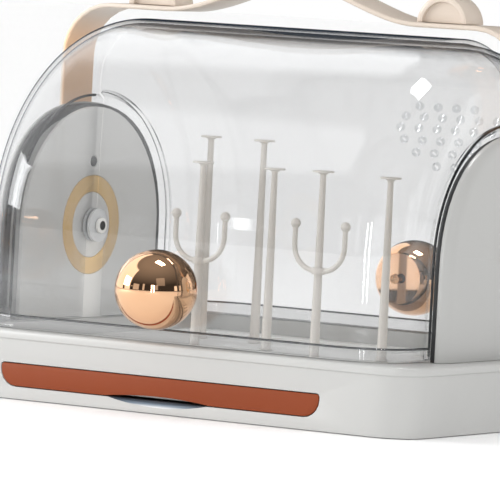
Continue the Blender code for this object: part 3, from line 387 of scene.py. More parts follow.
def clear_plastic(name, through=THROUGH, haze=0.0, rim=1.0):
    """Clear plastic, with some haze in it and a share of the dark rim."""
    finish = Finish(name)
    edge = finish.node("ShaderNodeLayerWeight", {}, {"Blend": 0.5}, "Facing")
    smear = finish.noise(SMEAR_SCALE, SMEAR_DETAIL, finish.place(SMEAR_STRETCH))
    see_through = finish.node("ShaderNodeBsdfTransparent", {}, {"Color": through})
    milk = finish.node("ShaderNodeBsdfDiffuse", {}, {"Color": MILK})
    body = finish.mixed(haze + SMEAR_SHARE * smear, see_through, milk)
    skin = finish.plastic(Base_Color=MIRROR, Metallic=1.0, Roughness=MIRROR_ROUGHNESS,
                          Normal=finish.bump(smear, SMEAR_HEIGHT, SMEAR_STRENGTH))
    share = MIRROR_LEAST + MIRROR_GAIN * edge ** MIRROR_POWER + SMEAR_SHARE * smear
    glossy = finish.mixed(share.between(0.0, MIRROR_MOST), body, skin)
    dark = finish.node("ShaderNodeBsdfDiffuse", {}, {"Color": CONTOUR})
    soft, hard = (gain * edge.ramp(start, end) for gain, start, end in CONTOUR_STEPS)
    uneven = CONTOUR_LEAST + CONTOUR_SWING * finish.noise(CONTOUR_SCALE)
    return finish.done(finish.mixed((soft + hard) * (rim * uneven), glossy, dark))


CLEAR = clear_plastic("clear_plastic")
CLEAR_FOOT = clear_plastic("clear_foot", THROUGH_FOOT, haze=0.10)
CLEAR_EYE = clear_plastic("clear_eye", haze=0.80, rim=0.10)
CLEAR_VENT = clear_plastic("clear_vent", THROUGH_VENT, haze=0.02, rim=0.12)
print("clear finishes:", CLEAR.name, CLEAR_FOOT.name, CLEAR_EYE.name, CLEAR_VENT.name)


# %% [markdown]
# Every piece ends in the same way. Its modifiers are taken into a plain mesh that sits at the origin, it
# gets its finish and smooth shading, and it is told which body carries it. `WELD` is the distance at
# which two points count as one.

# %% Finished pieces
EDGE_ANGLE = math.radians(34)
WELD = 0.002 * MM


def linked(name, mesh):
    """A new object in the scene for a mesh."""
    made = bpy.data.objects.new(name, mesh)
    bpy.context.scene.collection.objects.link(made)
    return made


def plain(made, name, finish, angle=EDGE_ANGLE):
    """The object's mesh with its modifiers taken in, shaded smooth, as a new object at the origin."""
    bpy.context.view_layer.update()
    graph = bpy.context.evaluated_depsgraph_get()
    mesh = bpy.data.meshes.new_from_object(made.evaluated_get(graph))
    mesh.transform(made.matrix_world)
    bpy.data.objects.remove(made, do_unlink=True)
    mesh.name = name
    mesh.materials.clear()
    mesh.materials.append(finish)
    mesh.shade_smooth()
    mesh.set_sharp_from_angle(angle=angle)
    return linked(name, mesh)


def fit(piece, body, slot, *nodes):
    """Puts a piece on its body, and in place of any nodes named. The slot is not used."""
    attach(piece, body)
    if nodes:
        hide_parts(*nodes)


# %% [markdown]
# Each CAD part is a plain solid with knife-sharp edges. A moulding has none, so each part gets a copy
# with its edges rounded and its curves shaded smooth, and the copy stands for the solid. The CAD model
# could have the rounded edges itself, but they would only add to it thousands of small faces. The covers
# and the knobs are left out here, because they are made anew further down.

# %% Smooth copies of the solids
EDGE_WIDTH = 0.4 * MM
EDGE_SEGMENTS = 2
FLAT_ANGLE = math.radians(0.6)
REMADE = {"front_cover", "rear_cover", "front_knob", "rear_knob"}
SLOT_OF = {row["node"]: row["material_slot"] for row in frame["record"]["subparts"]}
FINISH_OF_SLOT = {"white_plastic": WHITE, "peg_grey": PEG_GREY, "beige_plastic": BEIGE,
                  "drawer_rust": RUST, "seal_rubber": SEAL, "foot_rubber": FOOT}
FINISH_OF_ENDING = {"drain_plate": PLATE_PAINTED_BRIGHT, "end_panel": PANEL_PAINTED_BRIGHT, "pivot_pin": PANEL_PAINTED_BRIGHT,
                    "end_shell": SHELL_PAINTED_SHADE, "gold_ring": RING_GOLD, "knob_screw": GOLD,
                    "panel_screw": SEAL}


def edge_round(made, width, angle=EDGE_ANGLE):
    """Rounds an object's sharp edges."""
    bevel = made.modifiers.new("edge", "BEVEL")
    bevel.width = width
    bevel.segments = EDGE_SEGMENTS
    bevel.limit_method = "ANGLE"
    bevel.angle_limit = angle
    bevel.use_clamp_overlap = True


def welded(node):
    """A copy of a CAD solid with its loose triangles joined and its flat faces made whole."""
    bm = bmesh.new()
    bm.from_mesh(NODES[node].data)
    bmesh.ops.remove_doubles(bm, verts=bm.verts, dist=WELD)
    bmesh.ops.dissolve_limit(bm, angle_limit=FLAT_ANGLE, verts=bm.verts, edges=bm.edges)
    mesh = bpy.data.meshes.new(node)
    bm.to_mesh(mesh)
    bm.free()
    return linked(node, mesh)


def finish_of(node):
    """The finish of a CAD solid: one for its name, or else the one for its slot."""
    for ending, finish in FINISH_OF_ENDING.items():
        if node.endswith(ending):
            return finish
    return FINISH_OF_SLOT[SLOT_OF[node]]


for name in sorted(set(NODES) - REMADE):
    copy = welded(name)
    edge_round(copy, EDGE_WIDTH)
    fit(plain(copy, name + "_finished", finish_of(name)), BODY_OF[name], SLOT_OF[name], name)
print("rounded copies:", len(NODES) - len(REMADE))


# %% [markdown]
# A Geometry Nodes tree is a recipe with named sizes.

# %% Geometry Nodes trees
class Tree(Graph):
    """A Geometry Nodes tree with named number inputs."""

    def __init__(self, name, **sizes):
        self.tree = bpy.data.node_groups.new(name, "GeometryNodeTree")
        face = self.tree.interface
        face.new_socket("Geometry", in_out="INPUT", socket_type="NodeSocketGeometry")
        face.new_socket("Geometry", in_out="OUTPUT", socket_type="NodeSocketGeometry")
        self.identifiers = {}
        for label, value in sizes.items():
            kind = "NodeSocketInt" if isinstance(value, int) else "NodeSocketFloat"
            socket = face.new_socket(label, in_out="INPUT", socket_type=kind)
            socket.default_value = value
            self.identifiers[label] = socket.identifier
        self.input = self.tree.nodes.new("NodeGroupInput")
        self.output = self.tree.nodes.new("NodeGroupOutput")

    def sizes(self, *labels):
        """The inputs of these names; "Geometry" is the mesh that the tree runs on."""
        return [Signal(self, self.input.outputs[label]) for label in labels]

    def grid(self):
        """A unit grid: its mesh, u from -1 to 1 across it, and v from 0 to 1 round it."""
        across, around = self.sizes("across", "around")
        mesh = self.node("GeometryNodeMeshGrid", {}, {"Size X": 1.0, "Size Y": 1.0, "Vertices X": across,
                                                      "Vertices Y": around})
        split = self.node("ShaderNodeSeparateXYZ", {}, {0: self.node("GeometryNodeInputPosition")})
        return mesh, split * 2.0, split.other(1) + 0.5

    def moved(self, mesh, x, y, z):
        """The mesh with every point put at x, y and z."""
        at = self.node("ShaderNodeCombineXYZ", {}, {0: x, 1: y, 2: z})
        return self.node("GeometryNodeSetPosition", {}, {"Geometry": mesh, "Position": at})

    def merged(self, mesh):
        """The mesh with the points that meet made one, which closes a tube and its ends."""
        return self.node("GeometryNodeMergeByDistance", {}, {"Geometry": mesh, "Distance": WELD})

    def shape(self, geometry, finish):
        real = self.node("GeometryNodeRealizeInstances", {}, {"Geometry": geometry})
        dressed = self.node("GeometryNodeSetMaterial", {}, {"Geometry": real, "Material": finish})
        self.tree.links.new(dressed.socket, self.output.inputs[0])

    def grow(self, name, mesh=None, **values):
        made = linked(name, mesh or bpy.data.meshes.new(name))
        modifier = made.modifiers.new("tree", "NODES")
        modifier.node_group = self.tree
        for label, value in values.items():
            modifier[self.identifiers[label]] = value
        return made


# %% [markdown]
# Both covers are one rule. In section a cover is a straight crown, a round shoulder, a flat web, a small
# step inwards and a side plate that reaches the pivot. Each stretch has its own share of the grid, so
# that every corner falls on a row of points. The section is swept down from the seam at the top about the
# line through the pivots, and then drawn straight down. One cover could be modelled by hand, but a rule
# gives both from two sets of sizes, so that they nest and turn about the same line.

# %% Cover wall tree
AXIS_HEIGHT = 110.0 * MM
COVER_WALL = 3.0 * MM
COVER_SIZES = {
    "front_cover": dict(radius=143.5 * MM, end_x=166.0 * MM, shoulder=42.0 * MM, web_radius=88.0 * MM,
                        plate_x=162.4 * MM, seam=math.radians(91.5), side=-1.0),
    "rear_cover": dict(radius=139.9 * MM, end_x=162.4 * MM, shoulder=38.4 * MM, web_radius=91.0 * MM,
                       plate_x=158.8 * MM, seam=math.radians(88.5), side=1.0),
}
WEB_STEP = 3.0 * MM
HUB_RADIUS = 10.0 * MM
COVER_BOTTOM = 46.3 * MM
FLANGE_SEAT = 1.0 * MM
WALL_FOOT = COVER_BOTTOM + FLANGE_SEAT
CROWN_SHARE = 0.25
SHOULDER_SHARE = 0.60
WEB_SHARE = 0.70
STEP_SHARE = 0.75
SWEPT_SHARE = 0.80
QUARTER_TURN = math.pi / 2
HALF_TURN = math.pi
FULL_TURN = 2 * math.pi

wall_tree = Tree("cover_wall", **COVER_SIZES["front_cover"], step=WEB_STEP, hub=HUB_RADIUS,
                 axis=AXIS_HEIGHT, foot=WALL_FOOT, across=241, around=71)
radius, end_x, shoulder, web_radius, plate_x, seam, side, step, hub, axis, foot = wall_tree.sizes(
    "radius", "end_x", "shoulder", "web_radius", "plate_x", "seam", "side", "step", "hub", "axis", "foot")
grid, u, v = wall_tree.grid()
t = abs(u)
turn = t.ramp(CROWN_SHARE, SHOULDER_SHARE) * QUARTER_TURN
joggle = t.ramp(WEB_SHARE, STEP_SHARE)
across = (t.ramp(0.0, CROWN_SHARE) * (end_x - shoulder) + shoulder * turn.sine()
          - joggle * (end_x - plate_x)) * u.sign()
out = (radius - shoulder * (1.0 - turn.cosine())
       - t.ramp(SHOULDER_SHARE, WEB_SHARE) * (radius - shoulder - web_radius)
       - joggle * step - t.ramp(STEP_SHARE, 1.0) * (web_radius - step - hub))
angle = seam * (1.0 - v.ramp(0.0, SWEPT_SHARE))
drop = v.ramp(SWEPT_SHARE, 1.0) * (axis - foot)
wall_tree.shape(wall_tree.moved(grid, across, side * out * angle.cosine(),
                                axis + out * angle.sine() - drop), CLEAR)
print("cover wall tree:", len(wall_tree.tree.nodes), "nodes")

# %% [markdown]
# The rear cover has a round field of vent holes, in rows. They could be placed one by one, but rows need
# only a count each and two pitches. The tree stands a small rod on each point of the field, square to the
# wall, and the rods are then cut out of the wall together.

# %% Vent tree
VENT_RADIUS = 2.8 * MM
VENT_SIDES = 20
VENT_ROW_COUNTS = (4, 6, 7, 7, 6, 4)
VENT_PITCH_X = 14.5 * MM
VENT_PITCH_ARC = 10.0 * MM
VENT_CENTRE_X = 55.0 * MM
VENT_LOW_ANGLE = math.radians(22.0)
CUT_WIDTH = 4 * COVER_WALL

vent_tree = Tree("vent_rods", radius=VENT_RADIUS, depth=CUT_WIDTH, axis=AXIS_HEIGHT, sides=VENT_SIDES)
points, radius, depth, axis, sides = vent_tree.sizes("Geometry", "radius", "depth", "axis", "sides")
split = vent_tree.node("ShaderNodeSeparateXYZ", {}, {0: vent_tree.node("GeometryNodeInputPosition")})
away = vent_tree.node("ShaderNodeCombineXYZ", {}, {1: split.other(1), 2: split.other(2) - axis})
lean = vent_tree.node("FunctionNodeAlignRotationToVector", {"axis": "Z"}, {"Vector": away})
rod = vent_tree.node("GeometryNodeMeshCylinder", {}, {"Vertices": sides, "Radius": radius,
                                                      "Depth": depth})
rods = vent_tree.node("GeometryNodeInstanceOnPoints", {}, {"Points": points, "Instance": rod,
                                                           "Rotation": lean})
vent_tree.shape(rods, CLEAR)


def vent_points(cover_radius):
    """One point in the wall for each vent, in rows that follow the cover's round."""
    points = []
    for row, count in enumerate(VENT_ROW_COUNTS):
        angle = VENT_LOW_ANGLE + row * VENT_PITCH_ARC / cover_radius
        out = cover_radius - COVER_WALL / 2
        for column in range(count):
            x = VENT_CENTRE_X + (column - (count - 1) / 2) * VENT_PITCH_X
            points.append((x, out * math.cos(angle), AXIS_HEIGHT + out * math.sin(angle)))
    return points


field = bpy.data.meshes.new("vent_field")
field.from_pydata(vent_points(COVER_SIZES["rear_cover"]["radius"]), [], [])
print("vents:", len(field.vertices))


# %% [markdown]
# A cover's wall starts as the tree's open surface. The surface is turned to face outwards first, because
# Solidify puts the wall behind the face. The vents are cut next, and the edges are rounded last, so that
# the rims of the holes are rounded too.

# %% Make the cover walls
COVER_EDGE = 0.5 * MM
COVER_EDGE_ANGLE = math.radians(60)
COVER_SHARP_ANGLE = math.radians(50)


def walled(made, thickness, even=False):
    """Gives an open surface its thickness, inwards from its face."""
    thick = made.modifiers.new("wall", "SOLIDIFY")
    thick.thickness = thickness
    thick.offset = -1.0
    thick.use_even_offset = even


def cover_wall(name, sizes):
    """A cover's wall, without its vents and rounded edges."""
    skin = plain(wall_tree.grow(name + "_skin", **sizes), name + "_skin", CLEAR)
    top = max(skin.data.polygons, key=lambda face: face.center.z)
    if top.normal.z < 0:
        skin.data.flip_normals()
    walled(skin, COVER_WALL, even=True)
    return skin


rods = plain(vent_tree.grow("vent_rods", field), "vent_rods", CLEAR)
for name, sizes in COVER_SIZES.items():
    wall = cover_wall(name, sizes)
    if name == "rear_cover":
        bore = wall.modifiers.new("vents", "BOOLEAN")
        bore.operation = "DIFFERENCE"
        bore.solver = "EXACT"
        bore.object = rods
    edge_round(wall, COVER_EDGE, COVER_EDGE_ANGLE)
    wall = plain(wall, name + "_wall", CLEAR, COVER_SHARP_ANGLE)
    fit(wall, BODY_OF[name], "clear_plastic", name)
    print(name, "wall faces:", len(wall.data.polygons))
bpy.data.objects.remove(rods, do_unlink=True)

# %% [markdown]
# A hole in clear plastic shows as a pale ring, because light is bent at its wall. Each vent gets a thin
# sleeve for that. It comes from the same tree, a little narrower and just deeper than the wall, and its
# round ends are removed.

# %% Vent rims
RIM_GAP = 0.05 * MM
RIM_PROUD = 0.1 * MM
RIM_WALL = 0.6 * MM

rims = plain(vent_tree.grow("vent_rims", field, radius=VENT_RADIUS - RIM_GAP,
                            depth=COVER_WALL + 2 * RIM_PROUD), "vent_rims_open", CLEAR_VENT)
bm = bmesh.new()
bm.from_mesh(rims.data)
round_ends = [face for face in bm.faces if len(face.verts) > 4]
bmesh.ops.delete(bm, geom=round_ends, context="FACES_ONLY")
bm.to_mesh(rims.data)
bm.free()
walled(rims, RIM_WALL)
rims = plain(rims, "vent_rims", CLEAR_VENT)
fit(rims, BODY_OF["rear_cover"], "clear_plastic")
print("vent rim faces:", len(rims.data.polygons))

# %% [markdown]
# The foot of each cover is a thicker rim that follows the same plan. A curve with a bevel could make it,
# but a tree keeps the rim on the wall's own sizes. Its section is a rounded rectangle, a superellipse, and
# its two ends close to a point: `END_TAPER` says how steeply.

# %% Cover foot tree
FLANGE_HEIGHT = 9.1 * MM
FLANGE_PROUD = 1.8 * MM
FLANGE_BACK = 0.4 * MM
FOOT_SQUARENESS = 0.35
FOOT_HALF = (FLANGE_PROUD + COVER_WALL + FLANGE_BACK) / 2
FOOT_CROWN_SHARE = 0.50
FOOT_SHOULDER_SHARE = 0.90
END_TAPER = 90.0


def foot_plan(sizes):
    """The sizes of a cover's plan at its foot."""
    plan = {label: sizes[label] for label in ("radius", "end_x", "shoulder", "side")}
    return dict(plan, web_radius=sizes["web_radius"] + FLANGE_PROUD)


foot_tree = Tree("cover_foot", **foot_plan(COVER_SIZES["front_cover"]), half=FOOT_HALF,
                 height=FLANGE_HEIGHT / 2, middle=FLANGE_PROUD - FOOT_HALF,
                 level=COVER_BOTTOM + FLANGE_HEIGHT / 2, across=241, around=25)
radius, end_x, shoulder, web_radius, side, half, height, middle, level = foot_tree.sizes(
    "radius", "end_x", "shoulder", "web_radius", "side", "half", "height", "middle", "level")
grid, u, v = foot_tree.grid()
t = abs(u)
turn = t.ramp(FOOT_CROWN_SHARE, FOOT_SHOULDER_SHARE) * QUARTER_TURN
swell = ((1.0 - t) * END_TAPER).between(0.0, 1.0) ** 0.5
round_in = (v * FULL_TURN).cosine()
round_up = (v * FULL_TURN).sine()
proud = middle + half * swell * round_in.sign() * abs(round_in) ** FOOT_SQUARENESS
across = t.ramp(0.0, FOOT_CROWN_SHARE) * (end_x - shoulder) + (shoulder + proud) * turn.sine()
out = (radius - shoulder * (1.0 - turn.cosine()) + proud * turn.cosine()
       - t.ramp(FOOT_SHOULDER_SHARE, 1.0) * (radius - shoulder - web_radius))
rise = level + height * swell * round_up.sign() * abs(round_up) ** FOOT_SQUARENESS
tube = foot_tree.merged(foot_tree.moved(grid, across * u.sign(), side * out, rise))
foot_tree.shape(tube, CLEAR_FOOT)
print("cover foot tree:", len(foot_tree.tree.nodes), "nodes")


# %% [markdown]
# A tree's tube can come out inside out, and on one cover it does, because the two covers are mirror
# images. So its faces are turned outwards once its doubles are merged.

# %% Make the cover feet
FOOT_SHARP_ANGLE = math.radians(80)


def outward(piece):
    """The piece with its faces turned to point outwards."""
    bm = bmesh.new()
    bm.from_mesh(piece.data)
    bmesh.ops.remove_doubles(bm, verts=bm.verts, dist=WELD)
    bmesh.ops.recalc_face_normals(bm, faces=bm.faces)
    bm.to_mesh(piece.data)
    bm.free()
    return piece


for name, sizes in COVER_SIZES.items():
    tube = foot_tree.grow(name + "_foot", **foot_plan(sizes))
    foot = outward(plain(tube, name + "_foot", CLEAR_FOOT, FOOT_SHARP_ANGLE))
    fit(foot, BODY_OF[name], "clear_plastic")
    print(name, "foot faces:", len(foot.data.polygons))

# %% [markdown]
# The eye follows a clear cover by its edges, where light is bent away and the plastic looks black. The
# material darkens only what is seen edge on, so the edges are made as thin dark wires in the wall. Those
# round the arches have a tree of their own, which makes the same sweep as the wall.

# %% Edge line tree
EDGE_DARK = moulded("clear_edge_dark", srgb(16, 18, 21), srgb(40, 43, 47), 0.25)
LINE_HALF = 0.6 * MM
FRONT_COVER = COVER_SIZES["front_cover"]

line_tree = Tree("edge_line", radius=FRONT_COVER["web_radius"], x=FRONT_COVER["end_x"],
                 seam=FRONT_COVER["seam"], side=FRONT_COVER["side"], half=LINE_HALF, axis=AXIS_HEIGHT,
                 foot=WALL_FOOT, across=13, around=91)
radius, x, seam, side, half, axis, foot = line_tree.sizes("radius", "x", "seam", "side", "half", "axis",
                                                          "foot")
grid, u, v = line_tree.grid()
swell = half * ((1.0 - abs(v * 2.0 - 1.0)) * END_TAPER).between(0.0, 1.0) ** 0.5
out = radius + swell * (u * HALF_TURN).sine()
angle = seam * (1.0 - v.ramp(0.0, SWEPT_SHARE))
wire = line_tree.moved(grid, x + swell * (u * HALF_TURN).cosine(), side * out * angle.cosine(),
                       axis + out * angle.sine() - v.ramp(SWEPT_SHARE, 1.0) * (axis - foot))
line_tree.shape(line_tree.merged(wire), EDGE_DARK)
print("edge line tree:", len(line_tree.tree.nodes), "nodes")

# %% [markdown]
# Each cover gets a wire round the edge of either web and one along its foot. The foot's wire comes from
# the foot's own tree, with a smaller section near the top of the rim.

# %% Make the edge lines
ARCH_LINE_HALF = {"front_cover": 0.9 * MM, "rear_cover": 0.25 * MM}
SIDES = ((-1, "left"), (1, "right"))


def edge_line(name, wire, body):
    """A dark wire on the body of its cover."""
    fit(outward(plain(wire, name, EDGE_DARK, QUARTER_TURN)), body, "clear_plastic")


for name, sizes in COVER_SIZES.items():
    arch_half = ARCH_LINE_HALF[name]
    for way, hand in SIDES:
        line_name = f"{name}_{hand}_arch_line"
        wire = line_tree.grow(line_name, radius=sizes["web_radius"] + arch_half,
                              x=way * (sizes["end_x"] - arch_half), seam=sizes["seam"],
                              side=sizes["side"], half=arch_half)
        edge_line(line_name, wire, BODY_OF[name])
    line_name = name + "_foot_line"
    wire = foot_tree.grow(line_name, half=LINE_HALF, height=LINE_HALF,
                          middle=FLANGE_PROUD - 2 * LINE_HALF,
                          level=COVER_BOTTOM + FLANGE_HEIGHT - LINE_HALF, **foot_plan(sizes))
    edge_line(line_name, wire, BODY_OF[name])
print("edge lines:", len(COVER_SIZES) * (len(SIDES) + 1))


# %% [markdown]
# A turned piece is a profile spun about its axis. The knobs are egg-shaped: an ellipse that is cut flat
# where it meets the cover, with a bore for its screw. A stretched ball would be quicker, but it has no flat
# and no bore, and a mirror finish shows every face of a coarse one.

# %% Knobs
KNOB_RADIUS = 26.2 * MM
KNOB_LENGTH = 29.0 * MM
KNOB_CENTRE_Y = 161.5 * MM
KNOB_HEIGHT = 82.0 * MM
KNOB_STEPS = 64
SPIN_STEPS = 96
SEAT_GAP = 0.3 * MM
BORE_RADIUS = 2.1 * MM
BORE_DEPTH = 12.0 * MM


def turned(name, profile, axis, centre, finish, steps=SPIN_STEPS):
    """A profile of (radius, along) spun about an axis through centre."""
    mesh = bpy.data.meshes.new(name)
    mesh.from_pydata([(r, 0.0, along) for r, along in profile],
                     [(i, i + 1) for i in range(len(profile) - 1)], [])
    made = linked(name, mesh)
    screw = made.modifiers.new("turn", "SCREW")
    screw.steps = steps
    screw.render_steps = steps
    screw.use_merge_vertices = True
    screw.merge_threshold = WELD
    made.matrix_world = Matrix.Translation(centre) @ axis.to_track_quat("Z", "Y").to_matrix().to_4x4()
    return outward(plain(made, name, finish))


def knob_profile(back):
    """A knob's outline from its tip to the flat at its back, and then the bore."""
    low = math.asin((back - KNOB_CENTRE_Y) / KNOB_LENGTH)
    profile = [(0.0, KNOB_CENTRE_Y + KNOB_LENGTH)]
    for index in range(1, KNOB_STEPS + 1):
        angle = QUARTER_TURN + (low - QUARTER_TURN) * index / KNOB_STEPS
        profile.append((KNOB_RADIUS * math.cos(angle), KNOB_CENTRE_Y + KNOB_LENGTH * math.sin(angle)))
    return profile + [(BORE_RADIUS, back), (BORE_RADIUS, back + BORE_DEPTH), (0.0, back + BORE_DEPTH)]


for name, sizes in COVER_SIZES.items():
    node = name.replace("cover", "knob")
    knob = turned(node + "_ball", knob_profile(sizes["radius"] + SEAT_GAP),
                  Vector((0, sizes["side"], 0)), (0, 0, KNOB_HEIGHT), GOLD)
    fit(knob, BODY_OF[node], "rose_gold", node)
    print(node, "faces:", len(knob.data.polygons))

# %% [markdown]
# Each side plate of a cover ends in an eye, a small ring round the pivot pin. It is milky, as a thick boss
# of clear plastic is.

# %% Cover eyes
EYE_INNER = 4.3 * MM
EYE_OUTER = 11.5 * MM
EYE_THICKNESS = 2.4 * MM
EYE_EDGE = 0.4 * MM

for name, sizes in COVER_SIZES.items():
    face, back = sizes["plate_x"], sizes["plate_x"] - EYE_THICKNESS
    ring = [(EYE_INNER, face - EYE_EDGE), (EYE_INNER + EYE_EDGE, face), (EYE_OUTER - EYE_EDGE, face),
            (EYE_OUTER, face - EYE_EDGE), (EYE_OUTER, back), (EYE_INNER, back),
            (EYE_INNER, face - EYE_EDGE)]
    for way, hand in SIDES:
        eye = turned(name.replace("cover", hand) + "_eye", ring, Vector((way, 0, 0)),
                     (0, 0, AXIS_HEIGHT), CLEAR_EYE)
        fit(eye, BODY_OF[name], "clear_plastic")
print("cover eyes:", len(COVER_SIZES) * len(SIDES))

# %% [markdown]
# Each pivot pin has a socket in its head, which lies in shade. That shade is painted on as a thin dark disc
# on the head, which needs no cut in the pin.

# %% Pin sockets
SOCKET_RADIUS = 3.3 * MM
SOCKET_PROUD = 0.15 * MM
SOCKET_STEPS = 24
PIN_HEAD_X = 153.3 * MM

near, far = PIN_HEAD_X - SOCKET_PROUD, PIN_HEAD_X + SOCKET_PROUD
# Painted shade: a dark disc for the shade inside each pin's socket.
for way, hand in SIDES:
    socket = turned(hand + "_pin_socket_shade", [(0.0, near), (SOCKET_RADIUS - SOCKET_PROUD, near),
                                           (SOCKET_RADIUS, far), (0.0, far)],
                    Vector((way, 0, 0)), (0, 0, AXIS_HEIGHT), SEAL, SOCKET_STEPS)
    fit(socket, BODY_OF[hand + "_pivot_pin"], "seal_rubber")
print("pin sockets:", len(SIDES))


# %% [markdown]
# The finger scoop under the drawer is lined with a shallow dish, shaped like a lens, that stands just
# behind the wall. Little light gets in under the drawer, so shade is painted on the dish: it falls from
# near black at its top edge to blue-grey, and to a white painted highlight at the bottom. The tones are
# chained mixes, one for each step.

# %% Scoop lining
SCOOP_HALF_LENGTH = 43.0 * MM
SCOOP_TOP = 9.2 * MM
SCOOP_FALL = 5.0 * MM
SCOOP_FRONT_Y = -153.2 * MM
SCOOP_DISH = 1.6 * MM
SCOOP_WALL = 0.6 * MM
SCOOP_PAINTED_HIGHLIGHT_HEIGHT = 4.6 * MM
SCOOP_SHADE_TONES = (srgb(236, 238, 240), srgb(120, 134, 148), srgb(62, 72, 84), srgb(12, 13, 15))
SCOOP_UNEVEN = 0.06


def painted_shade_plastic(low, high, tones):
    """Satin plastic with painted shade: its tone goes from the first to the last between two heights."""
    finish = Finish("scoop_painted_shade")
    split = finish.node("ShaderNodeSeparateXYZ", {}, {0: finish.place()})
    rise = split.other(2).ramp(low, high) + SCOOP_UNEVEN * (finish.noise(TONE_SCALE) - 0.5)
    steps = len(tones) - 1
    colour = tones[0]
    for index, tone in enumerate(tones[1:]):
        colour = finish.tint(rise.ramp(index / steps, (index + 1) / steps), colour, tone)
    return satin(finish, colour, 0.30)


# Painted shade in the scoop: near black under the drawer, down to a painted highlight at the bottom.
SCOOP_PAINTED_SHADE = painted_shade_plastic(SCOOP_PAINTED_HIGHLIGHT_HEIGHT, SCOOP_TOP, SCOOP_SHADE_TONES)
dish_tree = Tree("scoop_dish", half=SCOOP_HALF_LENGTH, top=SCOOP_TOP, fall=SCOOP_FALL,
                 front=SCOOP_FRONT_Y, dish=SCOOP_DISH, across=49, around=13)
half, top, fall, front, dish = dish_tree.sizes("half", "top", "fall", "front", "dish")
grid, u, v = dish_tree.grid()
bulge = 1.0 - u * u
deep = front + dish * bulge * (v * HALF_TURN).sine()
dish_tree.shape(dish_tree.moved(grid, u * half, deep, top - fall * bulge * v), SCOOP_PAINTED_SHADE)

lining = plain(dish_tree.grow("scoop_dish"), "scoop_dish_open", SCOOP_PAINTED_SHADE)
walled(lining, SCOOP_WALL)
lining = outward(plain(lining, "scoop_lining", SCOOP_PAINTED_SHADE))
fit(lining, BODY_OF["base_housing"], "white_plastic")
print("scoop lining faces:", len(lining.data.polygons))

# %% [markdown]
# The floor is white paper, large enough to fill the view from any side.

# %% Floor
FLOOR_HALF = 12.0
FLOOR_CELLS = 8
PAPER_SCALE = 3.0
PAPER_ROUGHNESS = 0.9

bm = bmesh.new()
bmesh.ops.create_grid(bm, x_segments=FLOOR_CELLS, y_segments=FLOOR_CELLS, size=FLOOR_HALF)
mesh = bpy.data.meshes.new("floor")
bm.to_mesh(mesh)
bm.free()
paper = Finish("floor_paper")
tone = paper.tint(paper.noise(PAPER_SCALE), srgb(254, 254, 254), srgb(252, 252, 252))
mesh.materials.append(paper.done(paper.plastic(Base_Color=tone, Roughness=PAPER_ROUGHNESS)))
floor = linked("floor", mesh)
print("floor:", 2 * FLOOR_HALF, "m square")


# %% [markdown]
# The sky lights the object evenly and is white to the camera. What shines is shown another sky, a studio
# with a dark room, a soft box on the left and small lamps, because a mirror in an all-white room looks
# flat. Light Path tells the two apart by the kind of ray that asks. A direction in the sky is read as its
# turn from the front, and its rise, which is the height on a sphere of radius 1.

# %% Sky
class Sky(Graph):
    """The light that comes from all round."""

    def __init__(self, name):
        world = bpy.data.worlds.new(name)
        bpy.context.scene.world = world
        world.use_nodes = True
        self.tree = world.node_tree
        self.light = self.tree.nodes["Background"]
        self.light.inputs["Color"].default_value = (1.0, 1.0, 1.0, 1.0)


ROOM = 0.05
ROOM_STEPS = ((0.14, 0.30, 0.62), (0.16, 0.62, 0.95))
sky = Sky("studio")
east = sky.node("ShaderNodeSeparateXYZ", {}, {0: sky.node("ShaderNodeTexCoord", out="Object")})
north, rise = east.other(1), east.other(2)
turn = sky.node("ShaderNodeMath", {"operation": "ARCTAN2"}, {0: east, 1: 0.0 - north})
shine = ROOM
for power, low, high in ROOM_STEPS:
    shine = shine + power * rise.ramp(low, high)


# %% [markdown]
# The patches of that studio are what the knobs mirror: a large soft box on the left, crossed by a dark
# post, and a row of narrow lamps along the horizon.

# %% Patches in the sky
SOFT_BOX = (-140, -40, -0.10, 0.80)
SOFT_BOX_POWER = 1.5
SOFT_BOX_POST = (-70, -62, -0.05, 0.42)
SOFT_BOX_BLUR = 0.02
SMALL_LAMPS = (((-28, -8, 0.02, 0.30), 0.7), ((4, 10, 0.02, 0.34), 0.8), ((34, 50, 0.05, 0.30), 0.5),
               ((96, 104, 0.02, 0.22), 1.3), ((110, 116, 0.02, 0.22), 1.3), ((135, 160, -0.10, 0.40), 1.2))
SMALL_LAMP_BLUR = 0.012


def patch(place, blur):
    """1 inside a patch of sky: from one turn to another in degrees, and from one rise to another."""
    low_turn, high_turn, low_rise, high_rise = place
    return (turn.band(math.radians(low_turn), math.radians(high_turn), blur)
            * rise.band(low_rise, high_rise, blur))


post = patch(SOFT_BOX_POST, SOFT_BOX_BLUR)
shine = shine + SOFT_BOX_POWER * patch(SOFT_BOX, SOFT_BOX_BLUR) * (1.0 - post)
for place, power in SMALL_LAMPS:
    shine = shine + power * patch(place, SMALL_LAMP_BLUR)
print("patches in the sky:", 1 + len(SMALL_LAMPS))

# %% [markdown]
# The front cover shows two small sharp glints, one halfway up its front and one high on the right. Each
# is a lamp in the direction that the cover mirrors there. The lamps are bounded by east and north, because
# the crown is straight from left to right, and a mirror like that keeps the eastward part of a direction.

# %% Glints and the light of the sky
FRONT_GLINT_POWER = 8.0
FRONT_GLINT_EAST = (-0.5410, -0.5390, 0.0002)
FRONT_GLINT_RISE = (0.115, 0.205, 0.003)
BEHIND = (-0.2, 0.0)
HIGH_GLINT_POWER = 40.0
HIGH_GLINT_EAST = (-0.010, 0.290, 0.005)
HIGH_GLINT_NORTH = (0.050, 0.220, 0.005)
HIGH_GLINT_RISE = (0.5, 0.6)

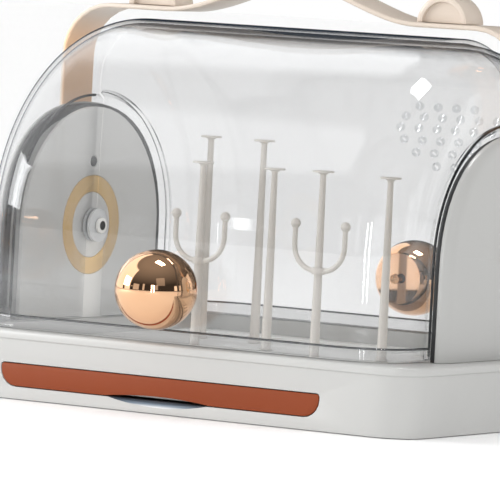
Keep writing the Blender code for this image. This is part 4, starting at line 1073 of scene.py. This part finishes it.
front_glint = (east.band(*FRONT_GLINT_EAST) * rise.band(*FRONT_GLINT_RISE)
               * (1.0 - north.ramp(*BEHIND)))
high_glint = (east.band(*HIGH_GLINT_EAST) * north.band(*HIGH_GLINT_NORTH)
              * rise.ramp(*HIGH_GLINT_RISE))
shine = shine + FRONT_GLINT_POWER * front_glint + HIGH_GLINT_POWER * high_glint
camera_ray = sky.node("ShaderNodeLightPath", out="Is Camera Ray")
glossy_ray = camera_ray.other("Is Glossy Ray")
strength = camera_ray + (1.0 - camera_ray) * (glossy_ray * shine + (1.0 - glossy_ray))
sky.tree.links.new(strength.socket, sky.light.inputs["Strength"])
print("sky:", len(sky.tree.nodes), "nodes")


# %% [markdown]
# A broad key light from the left and a weak one from the right shape the mouldings. Two narrow strips
# stand in front of the cover's right shoulder, where it mirrors them as faint upright streaks.

# %% Lamps
LAMPS = {"key_box": ((-1.35, -1.05, 0.6), (-0.1, 0, 0.1), (0.7, 0.6), 15.0),
         "side_box": ((1.5, -1.1, 1.0), (-0.16, 0, 0.12), (0.8, 0.8), 0.6)}
STRIP_AIM = Vector((0.145, -0.137, 0.22))
STRIP_TURNS = {"left_strip": math.radians(23.7), "right_strip": math.radians(31.0)}
STRIP_SIZE = (0.03, 0.40)
STRIP_POWER = 0.8
for name, angle in STRIP_TURNS.items():
    stand = STRIP_AIM + Vector((math.sin(angle), -math.cos(angle), 0))
    LAMPS[name] = (stand, STRIP_AIM, STRIP_SIZE, STRIP_POWER)


def softbox(name, place, aim, size, power):
    """A rectangular area light that looks at a point."""
    light = bpy.data.lights.new(name, "AREA")
    light.shape = "RECTANGLE"
    light.size, light.size_y = size
    light.energy = power
    lamp = bpy.data.objects.new(name, light)
    bpy.context.scene.collection.objects.link(lamp)
    away = (Vector(place) - Vector(aim)).normalized()
    lamp.matrix_world = Matrix.Translation(place) @ away.to_track_quat("Z", "Y").to_matrix().to_4x4()


for name, settings in LAMPS.items():
    softbox(name, *settings)
bpy.context.scene.view_settings.view_transform = "Standard"
print("lamps:", ", ".join(LAMPS))
